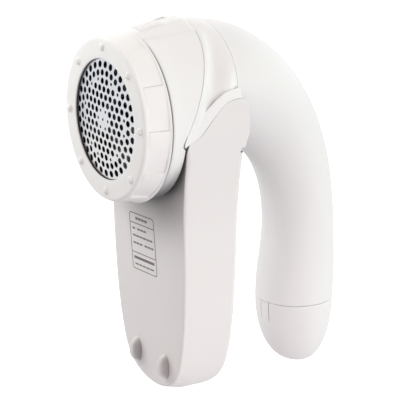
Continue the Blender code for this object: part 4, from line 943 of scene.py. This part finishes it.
# ---- power switch knob: thin pad with cross ridges, flush in the rail's bed -------------------------------------
ky0, ky1, kx = 15.1, 26.2, 4.65
rows_o, rows_i = [], []
ny = 132
KX = [-kx, -kx + 0.05, -kx + 0.15, -kx + 0.3, -3.7, -3.5, -2.0, 0.0, 2.0, 3.5, 3.7, kx - 0.3, kx - 0.15, kx - 0.05, kx]
for i in range(ny + 1):
    y = ky0 + (ky1 - ky0) * i / ny
    ro, ri = [], []
    for x in KX:
        ey = min(y - ky0, ky1 - y)
        ex = kx - abs(x)
        e = min(min(ey, ex) / 0.3, 1.0)
        drop = 0.2 * (1 - sqrt(max(1 - (1 - e) ** 2, 0.0)))
        ridge = 0.0
        if ey > 1.2 and ex > 1.0:
            ridge = 0.26 * max(0.0, sin(2 * pi * (y - ky0 - 1.2) / 1.09)) ** 0.8
        ro.append((x, y, rail_z(x, y) + 0.03 - drop + ridge))
        ri.append((x, y, rail_z(x, y) - 0.42))
    rows_o.append(ro)
    rows_i.append(ri)
piece("power_switch_knob_skin", thick(rows_o, rows_i), M_KNOB, "switch", ("power_switch_knob",), angle=35)

# ---- stage, camera, light --------------------------------------------------------------------------------------
floor_z = -0.0015
fm = bpy.data.meshes.new("floor")
bm = bmesh.new()
bmesh.ops.create_grid(bm, x_segments=1, y_segments=1, size=6.0)
bm.to_mesh(fm)
bm.free()
floor = bpy.data.objects.new("floor", fm)
floor.location = (0, 0, floor_z)
bpy.context.scene.collection.objects.link(floor)
mf = bpy.data.materials.new("floor_white")
mf.use_nodes = True
ft = mf.node_tree
fb = ft.nodes["Principled BSDF"]
fb.inputs["Base Color"].default_value = (0.90, 0.90, 0.90, 1)
fb.inputs["Roughness"].default_value = 0.9
fb.inputs["Specular IOR Level"].default_value = 0.1
fb.inputs["Emission Color"].default_value = (1, 1, 1, 1)
fb.inputs["Emission Strength"].default_value = 0.60
glow = ft.nodes.new("ShaderNodeEmission")
pos = ft.nodes.new("ShaderNodeNewGeometry")
flat = ft.nodes.new("ShaderNodeVectorMath")
flat.operation = 'LENGTH'
ft.links.new(pos.outputs["Position"], flat.inputs[0])
pool = node(ft, "ShaderNodeMapRange", From_Min=0.09, From_Max=0.20, To_Min=1.0, To_Max=0.0)
pool.interpolation_type = 'SMOOTHSTEP'
ft.links.new(flat.outputs["Value"], pool.inputs["Value"])
spill = ft.nodes.new("ShaderNodeMix")
spill.data_type = 'RGBA'
spill.inputs["A"].default_value = (0.40, 0.36, 0.365, 1)
spill.inputs["B"].default_value = (0.66, 0.605, 0.615, 1)
ft.links.new(pool.outputs["Result"], spill.inputs["Factor"])
ft.links.new(spill.outputs["Result"], glow.inputs["Color"])
lpf = ft.nodes.new("ShaderNodeLightPath")
swap = ft.nodes.new("ShaderNodeMixShader")
shine = ft.nodes.new("ShaderNodeEmission")
shine.inputs["Color"].default_value = (0.86, 0.875, 0.90, 1)
mirror = ft.nodes.new("ShaderNodeMixShader")
ft.links.new(lpf.outputs["Is Glossy Ray"], mirror.inputs[0])
ft.links.new(glow.outputs[0], mirror.inputs[1])
ft.links.new(shine.outputs[0], mirror.inputs[2])
ft.links.new(lpf.outputs["Is Camera Ray"], swap.inputs[0])
ft.links.new(mirror.outputs[0], swap.inputs[1])
ft.links.new(fb.outputs[0], swap.inputs[2])
ft.links.new(swap.outputs[0], ft.nodes["Material Output"].inputs["Surface"])
fm.materials.append(mf)
# the floor sinks with the box or the cap when they are drawn down, so that it cuts neither
sink = floor.driver_add("location", 2).driver
sink.type = 'SCRIPTED'
for k, body in enumerate(("lint_container", "cap")):
    var = sink.variables.new()
    var.name = "d%d" % k
    var.type = 'TRANSFORMS'
    var.targets[0].id = frame["bodies"][body]
    var.targets[0].transform_type = 'LOC_Z'
    var.targets[0].transform_space = 'WORLD_SPACE'
sink.expression = "%.4f + min(0, min(d0, d1))" % floor_z

# The studio is a white light tent: brightest from the right and behind, softly darker and warmer
# towards the front left. LIGHT holds, for each colour, the terms 1, x, y, z, xy, yz, 3zz-1, xz,
# xx-yy of a smooth function of direction. The camera itself sees plain white behind the object.
LIGHT = (
    (0.486, 0.325, 0.586, 0.092, 0.060, -0.035, -0.055, 0.031, 0.041),
    (0.449, 0.341, 0.701, 0.061, 0.073, -0.027, -0.075, 0.036, 0.024),
    (0.454, 0.297, 0.634, 0.051, 0.063, -0.031, -0.075, 0.031, 0.018))
world = bpy.data.worlds.new("studio")
world.use_nodes = True
wt = world.node_tree
bg = wt.nodes["Background"]
geo = wt.nodes.new("ShaderNodeNewGeometry")
neg = wt.nodes.new("ShaderNodeVectorMath")
neg.operation = 'SCALE'
neg.inputs["Scale"].default_value = -1.0
wt.links.new(geo.outputs["Incoming"], neg.inputs[0])
DIR = neg.outputs["Vector"]


def vdot(a, b):
    n = wt.nodes.new("ShaderNodeVectorMath")
    n.operation = 'DOT_PRODUCT'
    for k, v in enumerate((a, b)):
        if isinstance(v, tuple):
            n.inputs[k].default_value = v
        else:
            wt.links.new(v, n.inputs[k])
    return n.outputs["Value"]


rgb = wt.nodes.new("ShaderNodeCombineColor")
for ch, (c0, cx, cy, cz, cxy, cyz, czz, cxz, cd) in enumerate(LIGHT):
    rows3 = ((c0 - czz + cd, cxy / 2, cxz / 2), (cxy / 2, c0 - czz - cd, cyz / 2), (cxz / 2, cyz / 2, c0 + 2 * czz))
    comb = wt.nodes.new("ShaderNodeCombineXYZ")
    for k in range(3):
        wt.links.new(vdot(DIR, rows3[k]), comb.inputs[k])
    add = wt.nodes.new("ShaderNodeVectorMath")
    add.operation = 'ADD'
    add.inputs[1].default_value = (cx, cy, cz)
    wt.links.new(comb.outputs[0], add.inputs[0])
    top0 = wt.nodes.new("ShaderNodeMath")
    top0.operation = 'MAXIMUM'
    top0.inputs[1].default_value = 0.05
    wt.links.new(vdot(add.outputs[0], DIR), top0.inputs[0])
    wt.links.new(top0.outputs[0], rgb.inputs[ch])
lp = wt.nodes.new("ShaderNodeLightPath")


def lobe(direction, power, gain):
    """Soft bright patch of the tent around a direction."""
    m0 = wt.nodes.new("ShaderNodeMath")
    m0.operation = 'MAXIMUM'
    m0.inputs[1].default_value = 0.0
    wt.links.new(vdot(DIR, direction), m0.inputs[0])
    m1 = wt.nodes.new("ShaderNodeMath")
    m1.operation = 'POWER'
    m1.inputs[1].default_value = power
    wt.links.new(m0.outputs[0], m1.inputs[0])
    m2 = wt.nodes.new("ShaderNodeMath")
    m2.operation = 'MULTIPLY'
    m2.inputs[1].default_value = gain
    wt.links.new(m1.outputs[0], m2.inputs[0])
    return m2.outputs[0]


def plus(color, value):
    n = wt.nodes.new("ShaderNodeVectorMath")
    n.operation = 'ADD'
    wt.links.new(color, n.inputs[0])
    wt.links.new(value, n.inputs[1])
    return n.outputs["Vector"]


sky = plus(rgb.outputs["Color"], lobe((0.0, 0.0, 1.0), 2.0, 0.20))
gloss = wt.nodes.new("ShaderNodeMath")
gloss.operation = 'MULTIPLY'
wt.links.new(lobe((-0.852, 0.524, 0.0), 1.5, 0.72), gloss.inputs[0])
wt.links.new(lp.outputs["Is Glossy Ray"], gloss.inputs[1])
sky = plus(sky, gloss.outputs[0])
see = wt.nodes.new("ShaderNodeMix")
see.data_type = 'RGBA'
see.inputs["B"].default_value = (1, 1, 1, 1)
wt.links.new(lp.outputs["Is Camera Ray"], see.inputs["Factor"])
wt.links.new(sky, see.inputs["A"])
wt.links.new(see.outputs["Result"], bg.inputs["Color"])
bg.inputs["Strength"].default_value = 1.0
bpy.context.scene.world = world
bpy.context.scene.view_settings.view_transform = 'Standard'

# Soft lamps around the object: bearing, height (degrees, bearing 0 in front of the foil, 90 on
# the right), power and colour.
LAMPS = (
    (300, 15, 0.70, (0.956, 1.0, 0.963)),
    (90, -10, 0.50, (0.944, 0.965, 1.0)),
    (0, 40, 0.31, (0.957, 1.0, 0.971)),
    (300, 40, 0.244, (1.0, 0.989, 0.925)),
    (60, -10, 0.13, (1.0, 0.943, 0.82)),
    (150, -10, 0.22, (0.786, 1.0, 0.895)),
    (210, 40, 0.175, (0.81, 0.908, 1.0)),
    (330, 40, 0.131, (0.826, 1.0, 0.886)),
    (60, 15, 0.05, (0.768, 1.0, 0.928)))
mid = Vector((0.0, 0.0, 0.09))
for k, (a, e, power, tint) in enumerate(LAMPS):
    way = Vector((sin(radians(a)) * cos(radians(e)), -cos(radians(a)) * cos(radians(e)), sin(radians(e))))
    lamp = bpy.data.lights.new("softbox_%d" % (k + 1), 'AREA')
    lamp.shape = 'DISK'
    lamp.size = 0.20
    lamp.energy = power
    lamp.color = tint
    ob = bpy.data.objects.new(lamp.name, lamp)
    ob.location = mid + way * 0.38
    ob.rotation_euler = (-way).to_track_quat('-Z', 'Y').to_euler()
    ob.visible_camera = False
    ob.visible_glossy = False
    bpy.context.scene.collection.objects.link(ob)

az, el, roll = radians(58.41762), radians(17.06097), radians(1.12999825)
back = Vector((sin(az) * cos(el), -cos(az) * cos(el), sin(el)))
right0 = Vector((cos(az), sin(az), 0.0))
up0 = back.cross(right0)
R = cos(roll) * right0 + sin(roll) * up0
U = -sin(roll) * right0 + cos(roll) * up0
cam = bpy.data.cameras.new("camera")
cam.sensor_width = 36.0
cam.lens = 36.0 * 1954.46142 / 400.0
co = bpy.data.objects.new("camera", cam)
m = Matrix((R, U, back)).transposed().to_4x4()
m.translation = Vector((697.8, -380.9, 209.1)) * MM + O
co.matrix_world = m
bpy.context.scene.collection.objects.link(co)
bpy.context.scene.camera = co
